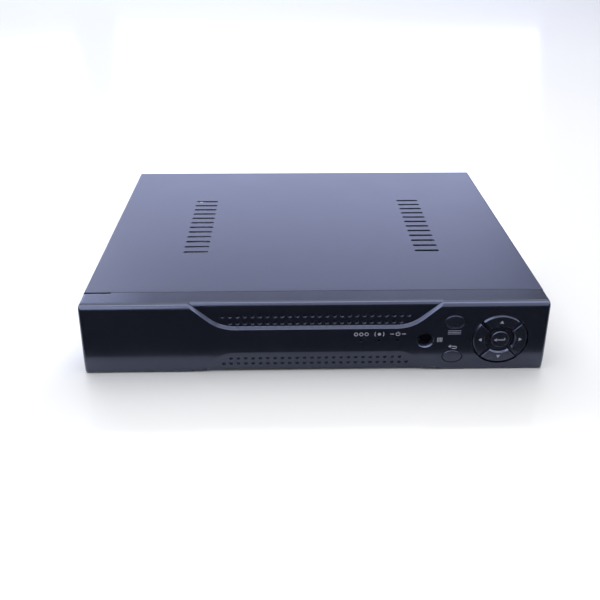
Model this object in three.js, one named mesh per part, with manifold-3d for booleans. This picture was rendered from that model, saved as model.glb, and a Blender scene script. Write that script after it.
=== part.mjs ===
// A desktop digital video recorder: a folded-steel case with a moulded front bezel, seven push keys,
// a row of rear sockets, a 3.5 inch hard disk, a main board and a small fan.
// Millimetres. X runs to the right, Y to the back and Z up. The origin lies on the table, under the
// middle of the whole recorder, rear sockets included.
import * as THREE from 'three';
import { mergeVertices } from 'three/addons/utils/BufferGeometryUtils.js';
import Module from 'manifold-3d';

const wasm = await Module();
wasm.setup();

// ---------------------------------------------------------------- driving dimensions
const CASE_WIDTH = 300;
const CASE_DEPTH = 227; // bezel face to the back of the steel cover
const CASE_TOP = 51; // top of the cover above the table
const SOCKET_REACH = 12; // how far the BNC sockets stand out behind the cover
const SHEET = 1; // steel sheet
const WALL = 2.2; // moulded plastic wall
const GAP = 0.3; // between touching pieces
const LAP = 0.1; // how far joined solids run into each other
const BEZEL_BOTTOM = 1; // the bezel's skirt clears the table by this much
const BASE_BOTTOM = 3.5; // underside of the steel base, which is the feet's height
const BEZEL_DEPTH = 16.8;

const HALF = CASE_WIDTH / 2;
const KEY_PROUD = 0.25; // the keys stand out of the face by this much
const FACE_Y = KEY_PROUD - (KEY_PROUD + CASE_DEPTH + SOCKET_REACH) / 2;
const BACK_Y = FACE_Y + CASE_DEPTH;
const SEAM_Y = FACE_Y + BEZEL_DEPTH;
const COVER_FRONT_Y = SEAM_Y + GAP;
const BASE_TOP = BASE_BOTTOM + SHEET;
const PANEL_Y = BACK_Y - SHEET - GAP; // outer face of the rear panel
const TIP_Y = BACK_Y + SOCKET_REACH;

// The bezel's face
const EDGE_RADIUS = 4; // top edge
const CORNER_RADIUS = 2.2; // upright corners
const CURL_HEIGHT = 13.5; // the face curls back below this height above the skirt
const CURL_DEPTH = 1;
const RECESS_DEPTH = 2.4;
const RECESS_LEDGE = 1.1; // the sloping ledge round the recess, seen from the front
const RECESS_BOTTOM = BEZEL_BOTTOM + 31.55;
const RECESS_CORNER_X = 61.5; // where the flat lower edge would meet the sloping side
const RECESS_SLOPE = 0.87; // rise over run of the recess's sides
const PATCH_SLOPE = 1.6; // and of the lower patch's
const SHOULDER = 10; // length of the rounded corner along each side
const PATCH_TOP = BEZEL_BOTTOM + 14.3;
const PATCH_CORNER_X = 62.5;
const PATCH_STEP = 0.3; // how far the patch lies behind the face at its top edge
const PATCH_FALL = 1.8; // and at the skirt
const NOTCH_HEIGHT = 1;
const NOTCH_HALF = 79.8;

// Controls, as centres on the face
const CONTROL_Z = BEZEL_BOTTOM + 22.5;
const RING_X = 119.4; // direction keys
const RING_RADIUS = 18.4;
const KEY_INNER = 9.1;
const ENTER_RADIUS = 6;
const SPOKE_HALF = 0.9;
const KEY_CLEARANCE = 0.35;
const DISH_DEPTH = 1.6;
const OVAL_X = 89.1; // menu and escape keys
const OVAL_Z = [BEZEL_BOTTOM + 36.1, BEZEL_BOTTOM + 9.8];
const OVAL_SIZE = [12.8, 9.1];
const KEY_GAP = 0.9; // from a key's stem to its switch, which is more than its travel
const RECEIVER_X = 70.8;
const RECEIVER_RADIUS = 5.7;
const LED_X = { spare: 29.2, record: 40.85, power: 52.85 };

// The front board, its switches and the depth of the pieces on it
const BOARD = 1.6;
const FRONT_BOARD_Y = FACE_Y + 11;
const SWITCH_BODY = 3.5;
const SWITCH_PLUNGER = 1.1;
const PLUNGER_Y = FRONT_BOARD_Y - SWITCH_BODY - SWITCH_PLUNGER;
const BOARD_POSTS = [[23, 9], [23, 30], [101, 44], [143, 9], [140, 44]]; // x, z

// Inside
const STANDOFF_TOP = BASE_TOP + 5.5;
const DRIVE = { x: -92.2, y: -18.5, width: 101.6, depth: 147, height: 26.1 };
const DRIVE_HOLES = { x: 47.6, front: -60.3, rear: 41.3 }; // from the drive's middle
const CABLE_X = 60; // the ribbon between the two boards
const CABLE_WIDTH = 18;
const HEADER_DEPTH = 5; // of the header on the front board
const HEADER_HEIGHT = 6; // of those on the main board
const DRIVE_HEADERS_Y = { data: 37, power: 65 };
const DRIVE_HEADER_X = -29;
const MAIN_BOARD = { x0: -38, x1: 142, y0: -14, y1: PANEL_Y - SHEET - GAP };
const FAN = { x: -112, z: 27.5, size: 40, depth: 10.5, bore: 19, hub: 10.5 };

// ---------------------------------------------------------------- materials
const finish = (color, roughness, metalness = 0) =>
  new THREE.MeshStandardMaterial({ color, roughness, metalness });
const BLACK_PAINT = finish(0x4d5168, 0.45);
const BLACK_PLASTIC = finish(0x15161f, 0.3);
const KEY_PLASTIC = finish(0x1b1c24, 0.35);
const SMOKED = finish(0x0a0608, 0.1);
const CLEAR_LED = finish(0x9aa0a0, 0.15);
const STEEL = finish(0xb9bcc0, 0.35, 1);
const NICKEL = finish(0xc8c9c6, 0.25, 1);
const ALUMINIUM = finish(0xa8abb0, 0.4, 1);
const GREEN_BOARD = finish(0x1d5a35, 0.45);
const CHIP = finish(0x202022, 0.5);
const RUBBER = finish(0x18181a, 0.9);
const FAN_PLASTIC = finish(0x1c1c1e, 0.5);
const SOCKET_PLASTIC = finish(0x232326, 0.5);
const CABLE_RED = finish(0xa31f1c, 0.5);
const CABLE_GREY = finish(0x8b8d90, 0.6);

// ---------------------------------------------------------------- solids
function solid(geometry) {
  const plain = geometry.clone();
  plain.deleteAttribute('normal');
  plain.deleteAttribute('uv');
  const merged = mergeVertices(plain, 1e-4);
  const triangles = [];
  for (let i = 0; i < merged.index.count; i += 3) {
    const [a, b, c] = merged.index.array.slice(i, i + 3);
    if (a !== b && b !== c && c !== a) triangles.push(a, b, c);
  }
  return new wasm.Manifold(new wasm.Mesh({
    numProp: 3,
    vertProperties: merged.attributes.position.array,
    triVerts: new Uint32Array(triangles),
  }));
}

function geometryOf(body) {
  const mesh = body.getMesh();
  const geometry = new THREE.BufferGeometry();
  geometry.setAttribute('position', new THREE.BufferAttribute(mesh.vertProperties, 3));
  geometry.setIndex(new THREE.BufferAttribute(mesh.triVerts, 1));
  geometry.computeVertexNormals();
  return geometry;
}

const joined = (first, ...others) => others.reduce((body, other) => body.add(other), first);
const cut = (first, ...others) => others.reduce((body, other) => body.subtract(other), first);

function block([x0, x1], [y0, y1], [z0, z1]) {
  const geometry = new THREE.BoxGeometry(x1 - x0, y1 - y0, z1 - z0);
  return solid(geometry.translate((x0 + x1) / 2, (y0 + y1) / 2, (z0 + z1) / 2));
}

// An extrusion between two stations on an axis. A shape for X is drawn in (y, z), for Y in (x, z)
// and for Z in (x, y).
function prism(axis, shape, from, to, options = {}) {
  const geometry = new THREE.ExtrudeGeometry(shape, {
    depth: to - from, bevelEnabled: false, curveSegments: 4, ...options,
  });
  const [x, y, z] = ['X', 'Y', 'Z'].map((_, i) => new THREE.Vector3().setComponent(i, 1));
  if (axis === 'X') {
    geometry.applyMatrix4(new THREE.Matrix4().makeBasis(y, z, x)).translate(from, 0, 0);
  } else if (axis === 'Y') {
    geometry.applyMatrix4(new THREE.Matrix4().makeBasis(x, z, y.clone().negate()));
    geometry.translate(0, to, 0);
  } else {
    geometry.translate(0, 0, from);
  }
  return solid(geometry);
}

// A turned piece: its profile is a list of [radius, distance along the axis] from the axis, out
// and back to the axis, and its axis starts at a point and runs along a direction.
function turned(profile, origin, direction, sides = 12) {
  const points = profile.map(([radius, along]) => new THREE.Vector2(radius, along));
  const turn = new THREE.Quaternion().setFromUnitVectors(
    new THREE.Vector3(0, 1, 0), new THREE.Vector3(...direction));
  return solid(new THREE.LatheGeometry(points, sides).applyQuaternion(turn).translate(...origin));
}

const rod = (radius, length, origin, direction, sides = 12) =>
  turned([[0, 0], [radius, 0], [radius, length], [0, length]], origin, direction, sides);

const outline = (points) => new THREE.Shape(points.map(([a, b]) => new THREE.Vector2(a, b)));

function slotShape(x, y, length, width) {
  const reach = (length - width) / 2;
  const shape = new THREE.Shape();
  shape.absarc(x + reach, y, width / 2, -Math.PI / 2, Math.PI / 2);
  shape.absarc(x - reach, y, width / 2, Math.PI / 2, 3 * Math.PI / 2);
  return shape;
}

const span = (centre, width) => [centre - width / 2, centre + width / 2];

function ovalShape(x, z, width, height) {
  const shape = new THREE.Shape();
  shape.absellipse(x, z, width / 2, height / 2, 0, 2 * Math.PI);
  return shape;
}

const assembly = new THREE.Group();

function piece(name, body, material) {
  const mesh = new THREE.Mesh(geometryOf(body), material);
  mesh.name = name;
  assembly.add(mesh);
}

// ---------------------------------------------------------------- front bezel
// The section of the bezel, front to back, pulled in by a wall thickness for its hollow.
function bezelSection(inset, back, bottom = BEZEL_BOTTOM + inset) {
  const front = FACE_Y + inset;
  const top = CASE_TOP - inset;
  const radius = EDGE_RADIUS - inset / 2;
  const curlTop = BEZEL_BOTTOM + CURL_HEIGHT;
  const curl = CURL_DEPTH * ((curlTop - bottom) / CURL_HEIGHT) ** 2;
  const shape = new THREE.Shape();
  shape.moveTo(back, bottom);
  shape.lineTo(back, top);
  shape.lineTo(front + radius, top);
  shape.absarc(front + radius, top - radius, radius, Math.PI / 2, Math.PI);
  shape.lineTo(front, curlTop);
  shape.quadraticCurveTo(front, (curlTop + bottom) / 2, front + curl, bottom);
  return shape;
}

// The outside of the bezel, moved forward by some amount. Its upright corners are rounded, and it is
// cut off square behind and below.
function bezelBlank(forward = 0) {
  const round = {
    depth: CASE_WIDTH - 2 * CORNER_RADIUS,
    bevelEnabled: true,
    bevelThickness: CORNER_RADIUS,
    bevelSize: CORNER_RADIUS,
    bevelOffset: -CORNER_RADIUS,
    bevelSegments: 3,
  };
  const margin = 2 * CORNER_RADIUS;
  const section = bezelSection(0, SEAM_Y + margin, BEZEL_BOTTOM - margin);
  const geometry = new THREE.ExtrudeGeometry(section, { curveSegments: 5, ...round });
  const basis = new THREE.Matrix4().makeBasis(
    new THREE.Vector3(0, 1, 0), new THREE.Vector3(0, 0, 1), new THREE.Vector3(1, 0, 0));
  geometry.applyMatrix4(basis).translate(CORNER_RADIUS - HALF, -forward, 0);
  const across = [-2 * HALF, 2 * HALF];
  const behind = block(across, [SEAM_Y, SEAM_Y + CASE_DEPTH], [-CASE_TOP, 2 * CASE_TOP]);
  const below = block(across, [2 * FACE_Y, BACK_Y], [-CASE_TOP, BEZEL_BOTTOM]);
  return cut(solid(geometry), behind, below);
}

// A flat edge between two sloping sides with rounded shoulders. direction is 1 where the sides
// rise from the edge, as round the recess, and -1 where they fall, as round the lower patch.
function swoosh(cornerX, edgeZ, direction, slope, height) {
  const along = SHOULDER / Math.hypot(1, slope);
  const side = (run) => [cornerX + run, edgeZ + direction * slope * run];
  const [shoulderX, shoulderZ] = side(along);
  const [farX, farZ] = side(height / slope);
  const shape = new THREE.Shape();
  shape.moveTo(-farX, farZ);
  shape.lineTo(-shoulderX, shoulderZ);
  shape.quadraticCurveTo(-cornerX, edgeZ, SHOULDER - cornerX, edgeZ);
  shape.lineTo(cornerX - SHOULDER, edgeZ);
  shape.quadraticCurveTo(cornerX, edgeZ, shoulderX, shoulderZ);
  shape.lineTo(farX, farZ);
  return shape;
}

// The outline of the recess's floor, inside its sloping ledge.
function recessFloor() {
  const slopeInset = RECESS_LEDGE * (Math.hypot(1, RECESS_SLOPE) - 1) / RECESS_SLOPE;
  return swoosh(RECESS_CORNER_X - slopeInset, RECESS_BOTTOM + RECESS_LEDGE, 1, RECESS_SLOPE, 30);
}

function recessCutter() {
  return prism('Y', recessFloor(), FACE_Y - 3, FACE_Y, {
    bevelEnabled: true,
    bevelThickness: RECESS_DEPTH,
    bevelSize: RECESS_LEDGE,
    bevelSegments: 1,
    curveSegments: 6,
  });
}

// What rounds the edge between the recess's floor and the top.
function recessEdgeCutter() {
  const radius = 3.2;
  const margin = 1;
  const front = FACE_Y + RECESS_DEPTH;
  const shape = new THREE.Shape();
  shape.moveTo(front - margin, CASE_TOP - radius);
  shape.lineTo(front, CASE_TOP - radius);
  shape.absarc(front + radius, CASE_TOP - radius, radius, Math.PI, Math.PI / 2, true);
  shape.lineTo(front + radius, CASE_TOP + margin);
  shape.lineTo(front - margin, CASE_TOP + margin);
  const within = prism('Y', recessFloor(), front - margin, SEAM_Y);
  return prism('X', shape, -HALF, HALF).intersect(within);
}

function patchCutter() {
  const front = swoosh(PATCH_CORNER_X, PATCH_TOP, -1, PATCH_SLOPE, 20);
  const fall = (PATCH_FALL - PATCH_STEP) / (PATCH_TOP - BEZEL_BOTTOM);
  const ahead = outline([
    [FACE_Y - 2, PATCH_TOP + 1],
    [FACE_Y - 2, -5],
    [FACE_Y + PATCH_FALL + fall * (BEZEL_BOTTOM + 5), -5],
    [FACE_Y + PATCH_STEP - fall, PATCH_TOP + 1],
  ]);
  const reach = HALF - 20;
  return prism('Y', front, FACE_Y - 2, SEAM_Y).intersect(prism('X', ahead, -reach, reach));
}

// One quarter of the ring of direction keys. turns is 0 for up, then clockwise.
function keySector(turns, inner, outer, clearance) {
  const middle = Math.PI / 2 - turns * Math.PI / 2;
  const offset = SPOKE_HALF + clearance;
  const half = (radius) => Math.PI / 4 - Math.asin(offset / radius);
  const shape = new THREE.Shape();
  shape.absarc(RING_X, CONTROL_Z, outer, middle - half(outer), middle + half(outer));
  shape.absarc(RING_X, CONTROL_Z, inner, middle + half(inner), middle - half(inner), true);
  return shape;
}

const disc = (radius) => ovalShape(RING_X, CONTROL_Z, 2 * radius, 2 * radius);

function makeBezel() {
  const inside = prism('X', bezelSection(WALL, SEAM_Y + 5), WALL - HALF, HALF - WALL);
  const wallBack = FACE_Y + WALL - LAP;
  const backEdge = [RECESS_CORNER_X + 2, RECESS_BOTTOM - 1];
  const behindRecess = swoosh(...backEdge, 1, RECESS_SLOPE, CASE_TOP - RECESS_BOTTOM);
  const recessBack = prism('Y', behindRecess, wallBack, FACE_Y + RECESS_DEPTH + WALL);
  const dishWall = [wallBack, FACE_Y + DISH_DEPTH + WALL];
  const dishBack = prism('Y', disc(RING_RADIUS + 2), ...dishWall, { curveSegments: 24 });
  const blank = bezelBlank();
  const backing = joined(recessBack, dishBack).intersect(blank);
  const through = { curveSegments: 16 };
  const countersink = [[0, -1], [RECEIVER_RADIUS + 1, -1], [4, 1.7], [4, 9], [0, 9]];
  const holes = [
    recessCutter(),
    recessEdgeCutter(),
    patchCutter(),
    block([-NOTCH_HALF, NOTCH_HALF], [FACE_Y - 2, SEAM_Y + 2], [-2, BEZEL_BOTTOM + NOTCH_HEIGHT]),
    prism('Y', disc(RING_RADIUS), FACE_Y - 2, FACE_Y + DISH_DEPTH, { curveSegments: 28 }),
    prism('Y', disc(ENTER_RADIUS + KEY_CLEARANCE), FACE_Y, SEAM_Y, through),
    turned(countersink, [RECEIVER_X, FACE_Y, CONTROL_Z], [0, 1, 0], 16),
  ];
  for (let turns = 0; turns < 4; turns += 1) {
    const window = keySector(turns, KEY_INNER, RING_RADIUS, 0);
    holes.push(prism('Y', window, FACE_Y, SEAM_Y, { curveSegments: 7 }));
  }
  for (const z of OVAL_Z) {
    const [width, height] = OVAL_SIZE.map((size) => size + 2 * KEY_CLEARANCE);
    holes.push(prism('Y', ovalShape(OVAL_X, z, width, height), FACE_Y - 2, FACE_Y + 8, through));
  }
  for (const x of Object.values(LED_X)) {
    holes.push(rod(0.9, 8, [x, FACE_Y - 2, CONTROL_Z], [0, 1, 0], 10));
  }
  const postLength = FRONT_BOARD_Y - GAP - wallBack;
  const posts = BOARD_POSTS.map(([x, z]) => rod(2.4, postLength, [x, wallBack, z], [0, 1, 0], 10));
  // Lugs on the bezel's back reach under the cover's front edge.
  const lugTop = CASE_TOP - SHEET - GAP;
  const lugs = [-115, 0, 115].map((x) =>
    block(span(x, 18), [SEAM_Y - 4, SEAM_Y + 6], [lugTop - 1.6, lugTop]));
  const shell = joined(cut(blank, inside), backing, ...posts, ...lugs);
  // The cover's front edge stands off the bezel for a short way at the left corner.
  const cornerNick = block(
    [-HALF - 1, 18 - HALF], [SEAM_Y - 0.5, SEAM_Y + 1], [CASE_TOP - 1.4, CASE_TOP + 1]);
  piece('front_bezel', cut(shell, ...holes, cornerNick), BLACK_PLASTIC);
}

// ---------------------------------------------------------------- keys, switches, front board
// A key is its cap, a lip behind the bezel that keeps it in, and a stem to its switch.
function makeKey(name, cap, lip, x, z) {
  const stemEnd = PLUNGER_Y - KEY_GAP;
  const skin = bezelBlank(KEY_PROUD);
  const lipY = FACE_Y + DISH_DEPTH + WALL + GAP;
  const room = prism('X', bezelSection(WALL + GAP, SEAM_Y), 0, HALF);
  const body = joined(
    prism('Y', cap, FACE_Y - 1, lipY + 0.5, { curveSegments: 7 }).intersect(skin),
    prism('Y', lip, lipY, lipY + 0.8, { curveSegments: 5 }).intersect(room),
    rod(1.8, stemEnd - lipY, [x, lipY, z], [0, 1, 0], 10),
  );
  piece(name, body, KEY_PLASTIC);
  makeSwitch(name, x, z);
}

function makeSwitch(name, x, z) {
  const size = 6;
  const depth = [FRONT_BOARD_Y - SWITCH_BODY, FRONT_BOARD_Y - GAP];
  const body = joined(
    block(span(x, size), depth, span(z, size)),
    rod(1.7, SWITCH_PLUNGER + LAP, [x, PLUNGER_Y, z], [0, 1, 0], 10),
  );
  piece(name.replace(/_key$/, '_switch'), body, CHIP);
}

function makeKeys() {
  const [width, height] = OVAL_SIZE;
  ['menu_key', 'escape_key'].forEach((name, i) => {
    const lip = ovalShape(OVAL_X, OVAL_Z[i], width + 2, height + 1.6);
    makeKey(name, ovalShape(OVAL_X, OVAL_Z[i], width, height), lip, OVAL_X, OVAL_Z[i]);
  });
  const stemRadius = 13.5;
  const capRadii = [KEY_INNER + KEY_CLEARANCE, RING_RADIUS - KEY_CLEARANCE];
  ['up_key', 'right_key', 'down_key', 'left_key'].forEach((name, turns) => {
    const cap = keySector(turns, ...capRadii, KEY_CLEARANCE);
    const lip = keySector(turns, stemRadius, RING_RADIUS + 0.7, SPOKE_HALF);
    const angle = Math.PI / 2 * (1 - turns);
    const x = RING_X + stemRadius * Math.cos(angle);
    makeKey(name, cap, lip, x, CONTROL_Z + stemRadius * Math.sin(angle));
  });
  makeKey('enter_key', disc(ENTER_RADIUS), disc(ENTER_RADIUS + 0.9), RING_X, CONTROL_Z);
}

function makeFrontBoard() {
  const z = [BEZEL_BOTTOM + 4, BEZEL_BOTTOM + 46];
  const back = FRONT_BOARD_Y + BOARD;
  const board = block([19, 146], [FRONT_BOARD_Y, back], z);
  const header = block(span(CABLE_X, CABLE_WIDTH + 4), [back - LAP, back + HEADER_DEPTH], [8, 14]);
  piece('front_board', joined(board, header), GREEN_BOARD);
}

function makeReceiver() {
  const centre = [RECEIVER_X, FACE_Y, CONTROL_Z];
  const lens = [[0, 0.7], [1.6, 0.85], [2.8, 1.3], [3.6, 2.1], [3.6, 2.5], [3.6, 3.6], [0, 3.6]];
  piece('receiver_window', turned(lens, centre, [0, 1, 0], 16), SMOKED);
  const dome = [[0, 4.2], [1.4, 4.6], [2, 5.6], [2, 7.6], [0, 7.6]];
  const body = block(
    span(RECEIVER_X, 5.6), [FACE_Y + 7.5, FRONT_BOARD_Y - GAP], span(CONTROL_Z, 6.8));
  piece('receiver_sensor', joined(turned(dome, centre, [0, 1, 0]), body), CHIP);
}

function makeLeds() {
  const tip = [
    [0, 0.1], [0.45, 0.2], [0.6, 0.5], [0.6, 3], [1.5, 3.4],
    [1.5, 9.4], [1.9, 9.6], [1.9, 10.7], [0, 10.7],
  ];
  for (const [name, x] of Object.entries(LED_X)) {
    piece(`${name}_led`, turned(tip, [x, FACE_Y, CONTROL_Z], [0, 1, 0], 8), CLEAR_LED);
  }
}

// ---------------------------------------------------------------- steel case
const SLOT_BANK = { x: 83.4, front: FACE_Y + 72.5, pitch: 8.19, count: 12, length: 17.5, width: 2.6 };
const SIDE_SLOTS = { y: 20, z: 27, pitch: 8.19, count: 9, length: 18, width: 2.6 };
const SLOT_ENDS = { curveSegments: 2 };
const SIDE_SCREWS = { y: [-70, 78], z: 11 };
const REAR_SCREWS_X = [-60, 60];
const REAR_SCREW_Z = 48;
const LIP_BOTTOM = 45.4; // the cover's top turns down at the back to this height

function coverSection() {
  const bend = 1.6;
  const inner = HALF - SHEET;
  const shape = new THREE.Shape();
  shape.moveTo(-HALF, BASE_BOTTOM);
  shape.lineTo(-inner, BASE_BOTTOM);
  shape.lineTo(-inner, CASE_TOP - bend);
  shape.lineTo(-inner + bend - SHEET, CASE_TOP - SHEET);
  shape.lineTo(inner - bend + SHEET, CASE_TOP - SHEET);
  shape.lineTo(inner, CASE_TOP - bend);
  shape.lineTo(inner, BASE_BOTTOM);
  shape.lineTo(HALF, BASE_BOTTOM);
  shape.absarc(HALF - bend, CASE_TOP - bend, bend, 0, Math.PI / 2);
  shape.absarc(bend - HALF, CASE_TOP - bend, bend, Math.PI / 2, Math.PI);
  return shape;
}

function makeCover() {
  const lipWidth = CASE_WIDTH - 2 * SHEET + 2 * LAP;
  const lip = block(
    span(0, lipWidth), [BACK_Y - SHEET, BACK_Y], [LIP_BOTTOM, CASE_TOP - SHEET / 2]);
  const cutters = [];
  for (const side of [-1, 1]) {
    for (let i = 0; i < SLOT_BANK.count; i += 1) {
      const y = SLOT_BANK.front + i * SLOT_BANK.pitch;
      const shape = slotShape(side * SLOT_BANK.x, y, SLOT_BANK.length, SLOT_BANK.width);
      cutters.push(prism('Z', shape, CASE_TOP - 2 * SHEET, CASE_TOP + SHEET, SLOT_ENDS));
    }
    for (let i = 0; i < SIDE_SLOTS.count; i += 1) {
      const y = SIDE_SLOTS.y + i * SIDE_SLOTS.pitch;
      const shape = slotShape(0, 0, SIDE_SLOTS.length, SIDE_SLOTS.width);
      const upright = prism('Z', shape, -2, 2, SLOT_ENDS).rotate([0, 90, 0]);
      cutters.push(upright.translate([side * HALF, y, SIDE_SLOTS.z]));
    }
    const dimple = [[0, -LAP], [3.5, -LAP], [1.9, SHEET + LAP], [0, SHEET + LAP]];
    for (const y of SIDE_SCREWS.y) {
      cutters.push(turned(dimple, [side * HALF, y, SIDE_SCREWS.z], [-side, 0, 0]));
    }
  }
  for (const x of REAR_SCREWS_X) {
    cutters.push(rod(1.8, 4, [x, BACK_Y - 3, REAR_SCREW_Z], [0, 1, 0], 10));
  }
  const folded = prism('Y', coverSection(), COVER_FRONT_Y, BACK_Y);
  piece('top_cover', cut(joined(folded, lip), ...cutters), BLACK_PAINT);
}

function driveHoles() {
  const spots = [];
  for (const side of [-1, 1]) {
    for (const y of [DRIVE_HOLES.front, DRIVE_HOLES.rear]) {
      spots.push([DRIVE.x + side * DRIVE_HOLES.x, DRIVE.y + y]);
    }
  }
  return spots;
}

function boardStandoffs() {
  const { x0, x1, y0, y1 } = MAIN_BOARD;
  return [[x0 + 5, y0 + 5], [x1 - 5, y0 + 5], [x0 + 5, y1 - 22], [x1 - 5, y1 - 22]];
}

function makeChassis() {
  const half = HALF - SHEET - GAP;
  const front = SEAM_Y + GAP;
  const back = PANEL_Y;
  const floor = [BASE_BOTTOM, BASE_TOP];
  const flangeTop = 17;
  const lapped = BASE_TOP - LAP;
  const flangeSpan = [front + SHEET / 2, back - SHEET - GAP];
  const parts = [
    block([-half, -half + SHEET], flangeSpan, [lapped, flangeTop]),
    block([half - SHEET, half], flangeSpan, [lapped, flangeTop]),
    block([-half, half], [front, front + SHEET], [lapped, flangeTop]),
  ];
  const standoffs = [...driveHoles(), ...boardStandoffs()].map(([x, y]) =>
    rod(3.6, STANDOFF_TOP - lapped, [x, y, lapped], [0, 0, 1], 10));
  const holes = driveHoles().map(([x, y]) => rod(1.8, 20, [x, y, 0], [0, 0, 1], 8));
  for (const side of [-1, 1]) {
    for (const y of SIDE_SCREWS.y) {
      holes.push(rod(1.7, 4, [side * (half + 1), y, SIDE_SCREWS.z], [-side, 0, 0], 8));
    }
  }
  const [notchFrom, notchTo] = span(CABLE_X, CABLE_WIDTH + 8);
  holes.push(block([notchFrom, notchTo], [front - 1, front + SHEET + 1], [BASE_TOP, flangeTop + 1]));
  const tray = joined(block([-half, half], [front, back], floor), ...parts, ...standoffs);
  piece('base_chassis', cut(tray, ...holes), STEEL);
}

function makeScrews() {
  for (const side of [-1, 1]) {
    SIDE_SCREWS.y.forEach((y, i) => {
      const profile = [[0, 0.1], [3.1, 0.1], [1.4, SHEET + 0.2], [1.4, 5], [0, 5]];
      const name = `cover_screw_${side < 0 ? 'left' : 'right'}_${i + 1}`;
      piece(name, turned(profile, [side * HALF, y, SIDE_SCREWS.z], [-side, 0, 0], 8), BLACK_PAINT);
    });
  }
  const panHead = [[0, 0], [2.2, 0], [3, 0.6], [3, 1.7], [1.4, 1.7], [1.4, 5.2], [0, 5.2]];
  REAR_SCREWS_X.forEach((x, i) => {
    const head = turned(panHead, [x, BACK_Y + GAP + 1.7, REAR_SCREW_Z], [0, -1, 0], 8);
    piece(`cover_screw_rear_${i + 1}`, head, BLACK_PAINT);
  });
  const driveScrew = [[0, 0], [2.2, 0], [3, 0.6], [3, 1.7], [1.4, 1.7], [1.4, 11], [0, 11]];
  driveHoles().forEach(([x, y], i) => {
    const screw = turned(driveScrew, [x, y, BASE_BOTTOM - GAP - 1.7], [0, 0, 1], 8);
    piece(`drive_screw_${i + 1}`, screw, NICKEL);
  });
}

function makeFeet() {
  const profile = [[0, 0], [7.4, 0], [8, 0.6], [8.6, BASE_BOTTOM - GAP], [0, BASE_BOTTOM - GAP]];
  for (const [row, y] of [['front', -84], ['rear', 84]]) {
    for (const [side, x] of [['left', -126], ['right', 126]]) {
      piece(`foot_${row}_${side}`, turned(profile, [x, y, 0], [0, 0, 1]), RUBBER);
    }
  }
}

// ---------------------------------------------------------------- rear sockets
const ROW_Z = [20.5, 36.5];
const BNC_X = [131, 114, 97];
const SOCKET_BASE = STANDOFF_TOP + GAP + BOARD + GAP; // top of the main board and a gap
const BODY_BACK = PANEL_Y - SHEET - GAP; // sockets' housings stop here, inside the panel
const AUDIO = { x: 76, z: [19.5, 32.5], pitch: 13 };
const VGA = { x: 44, width: 31, height: 12.5 };
const HDMI = { x: 16.5, width: 15, height: 6 };
const USB = { x: -1, width: 14, height: 16 };
const LAN = { x: -19, width: 16, height: 14 };
const POWER = { x: -33.5, width: 9, height: 11 };

// A round socket: a square housing inside the panel and a barrel that comes out through it.
function roundSocket(x, z, size, barrel) {
  const half = size / 2;
  const housing = block([x - half, x + half], [BODY_BACK - 12, BODY_BACK], [z - half, z + half]);
  return joined(housing, turned(barrel, [x, BODY_BACK - LAP, z], [0, 1, 0]));
}

function bncSocket(x, z) {
  const reach = TIP_Y - BODY_BACK + LAP;
  const barrel = [
    [0, 0], [6.1, 0], [6.1, 3.4], [4.8, 3.4], [4.8, reach], [4.1, reach],
    [4.1, reach - 9], [1.7, reach - 9], [1.7, reach - 3], [0, reach - 3],
  ];
  const lugs = [-1, 1].map((side) => rod(1, 1.4, [x, TIP_Y - 4.5, z + side * 4.4], [0, 0, side], 8));
  return joined(roundSocket(x, z, 14.4, barrel), ...lugs);
}

function phonoBarrel() {
  const reach = 11;
  return [
    [0, 0], [5, 0], [5, 2.6], [4.1, 2.6], [4.1, reach],
    [1.7, reach], [1.7, reach - 7], [0, reach - 7],
  ];
}

function makeSockets() {
  let camera = 0;
  for (const x of BNC_X.slice(0, 2)) {
    for (const z of ROW_Z) {
      camera += 1;
      piece(`video_in_socket_${camera}`, bncSocket(x, z), NICKEL);
    }
  }
  piece('video_out_socket', bncSocket(BNC_X[2], ROW_Z[1]), NICKEL);
  piece('audio_out_socket', roundSocket(BNC_X[2], ROW_Z[0], 12, phonoBarrel()), NICKEL);

  const audio = block([AUDIO.x - 12.8, AUDIO.x + 12.8], [BODY_BACK - 12, BODY_BACK], [SOCKET_BASE, 39]);
  const barrels = [];
  for (const side of [-1, 1]) {
    for (const z of AUDIO.z) {
      const x = AUDIO.x + side * AUDIO.pitch / 2;
      barrels.push(turned(phonoBarrel(), [x, BODY_BACK - LAP, z], [0, 1, 0]));
    }
  }
  piece('audio_in_sockets', joined(audio, ...barrels), SOCKET_PLASTIC);
  makeVga();
  makeDataSockets();
}

function makeVga() {
  const z = SOCKET_BASE + VGA.height / 2;
  const housing = block(span(VGA.x, VGA.width), [BODY_BACK - 12, BODY_BACK], span(z, VGA.height));
  const shell = outline([[-8.4, 4], [8.4, 4], [7, -4], [-7, -4]].map(([x, dz]) => [VGA.x + x, z + dz]));
  const nose = prism('Y', shell, BODY_BACK - LAP, BODY_BACK + 8);
  const nuts = [-1, 1].map((side) =>
    rod(2.4, 7, [VGA.x + side * 12.5, BODY_BACK - LAP, z], [0, 1, 0], 6));
  piece('monitor_socket', joined(housing, nose, ...nuts), STEEL);
}

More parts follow.
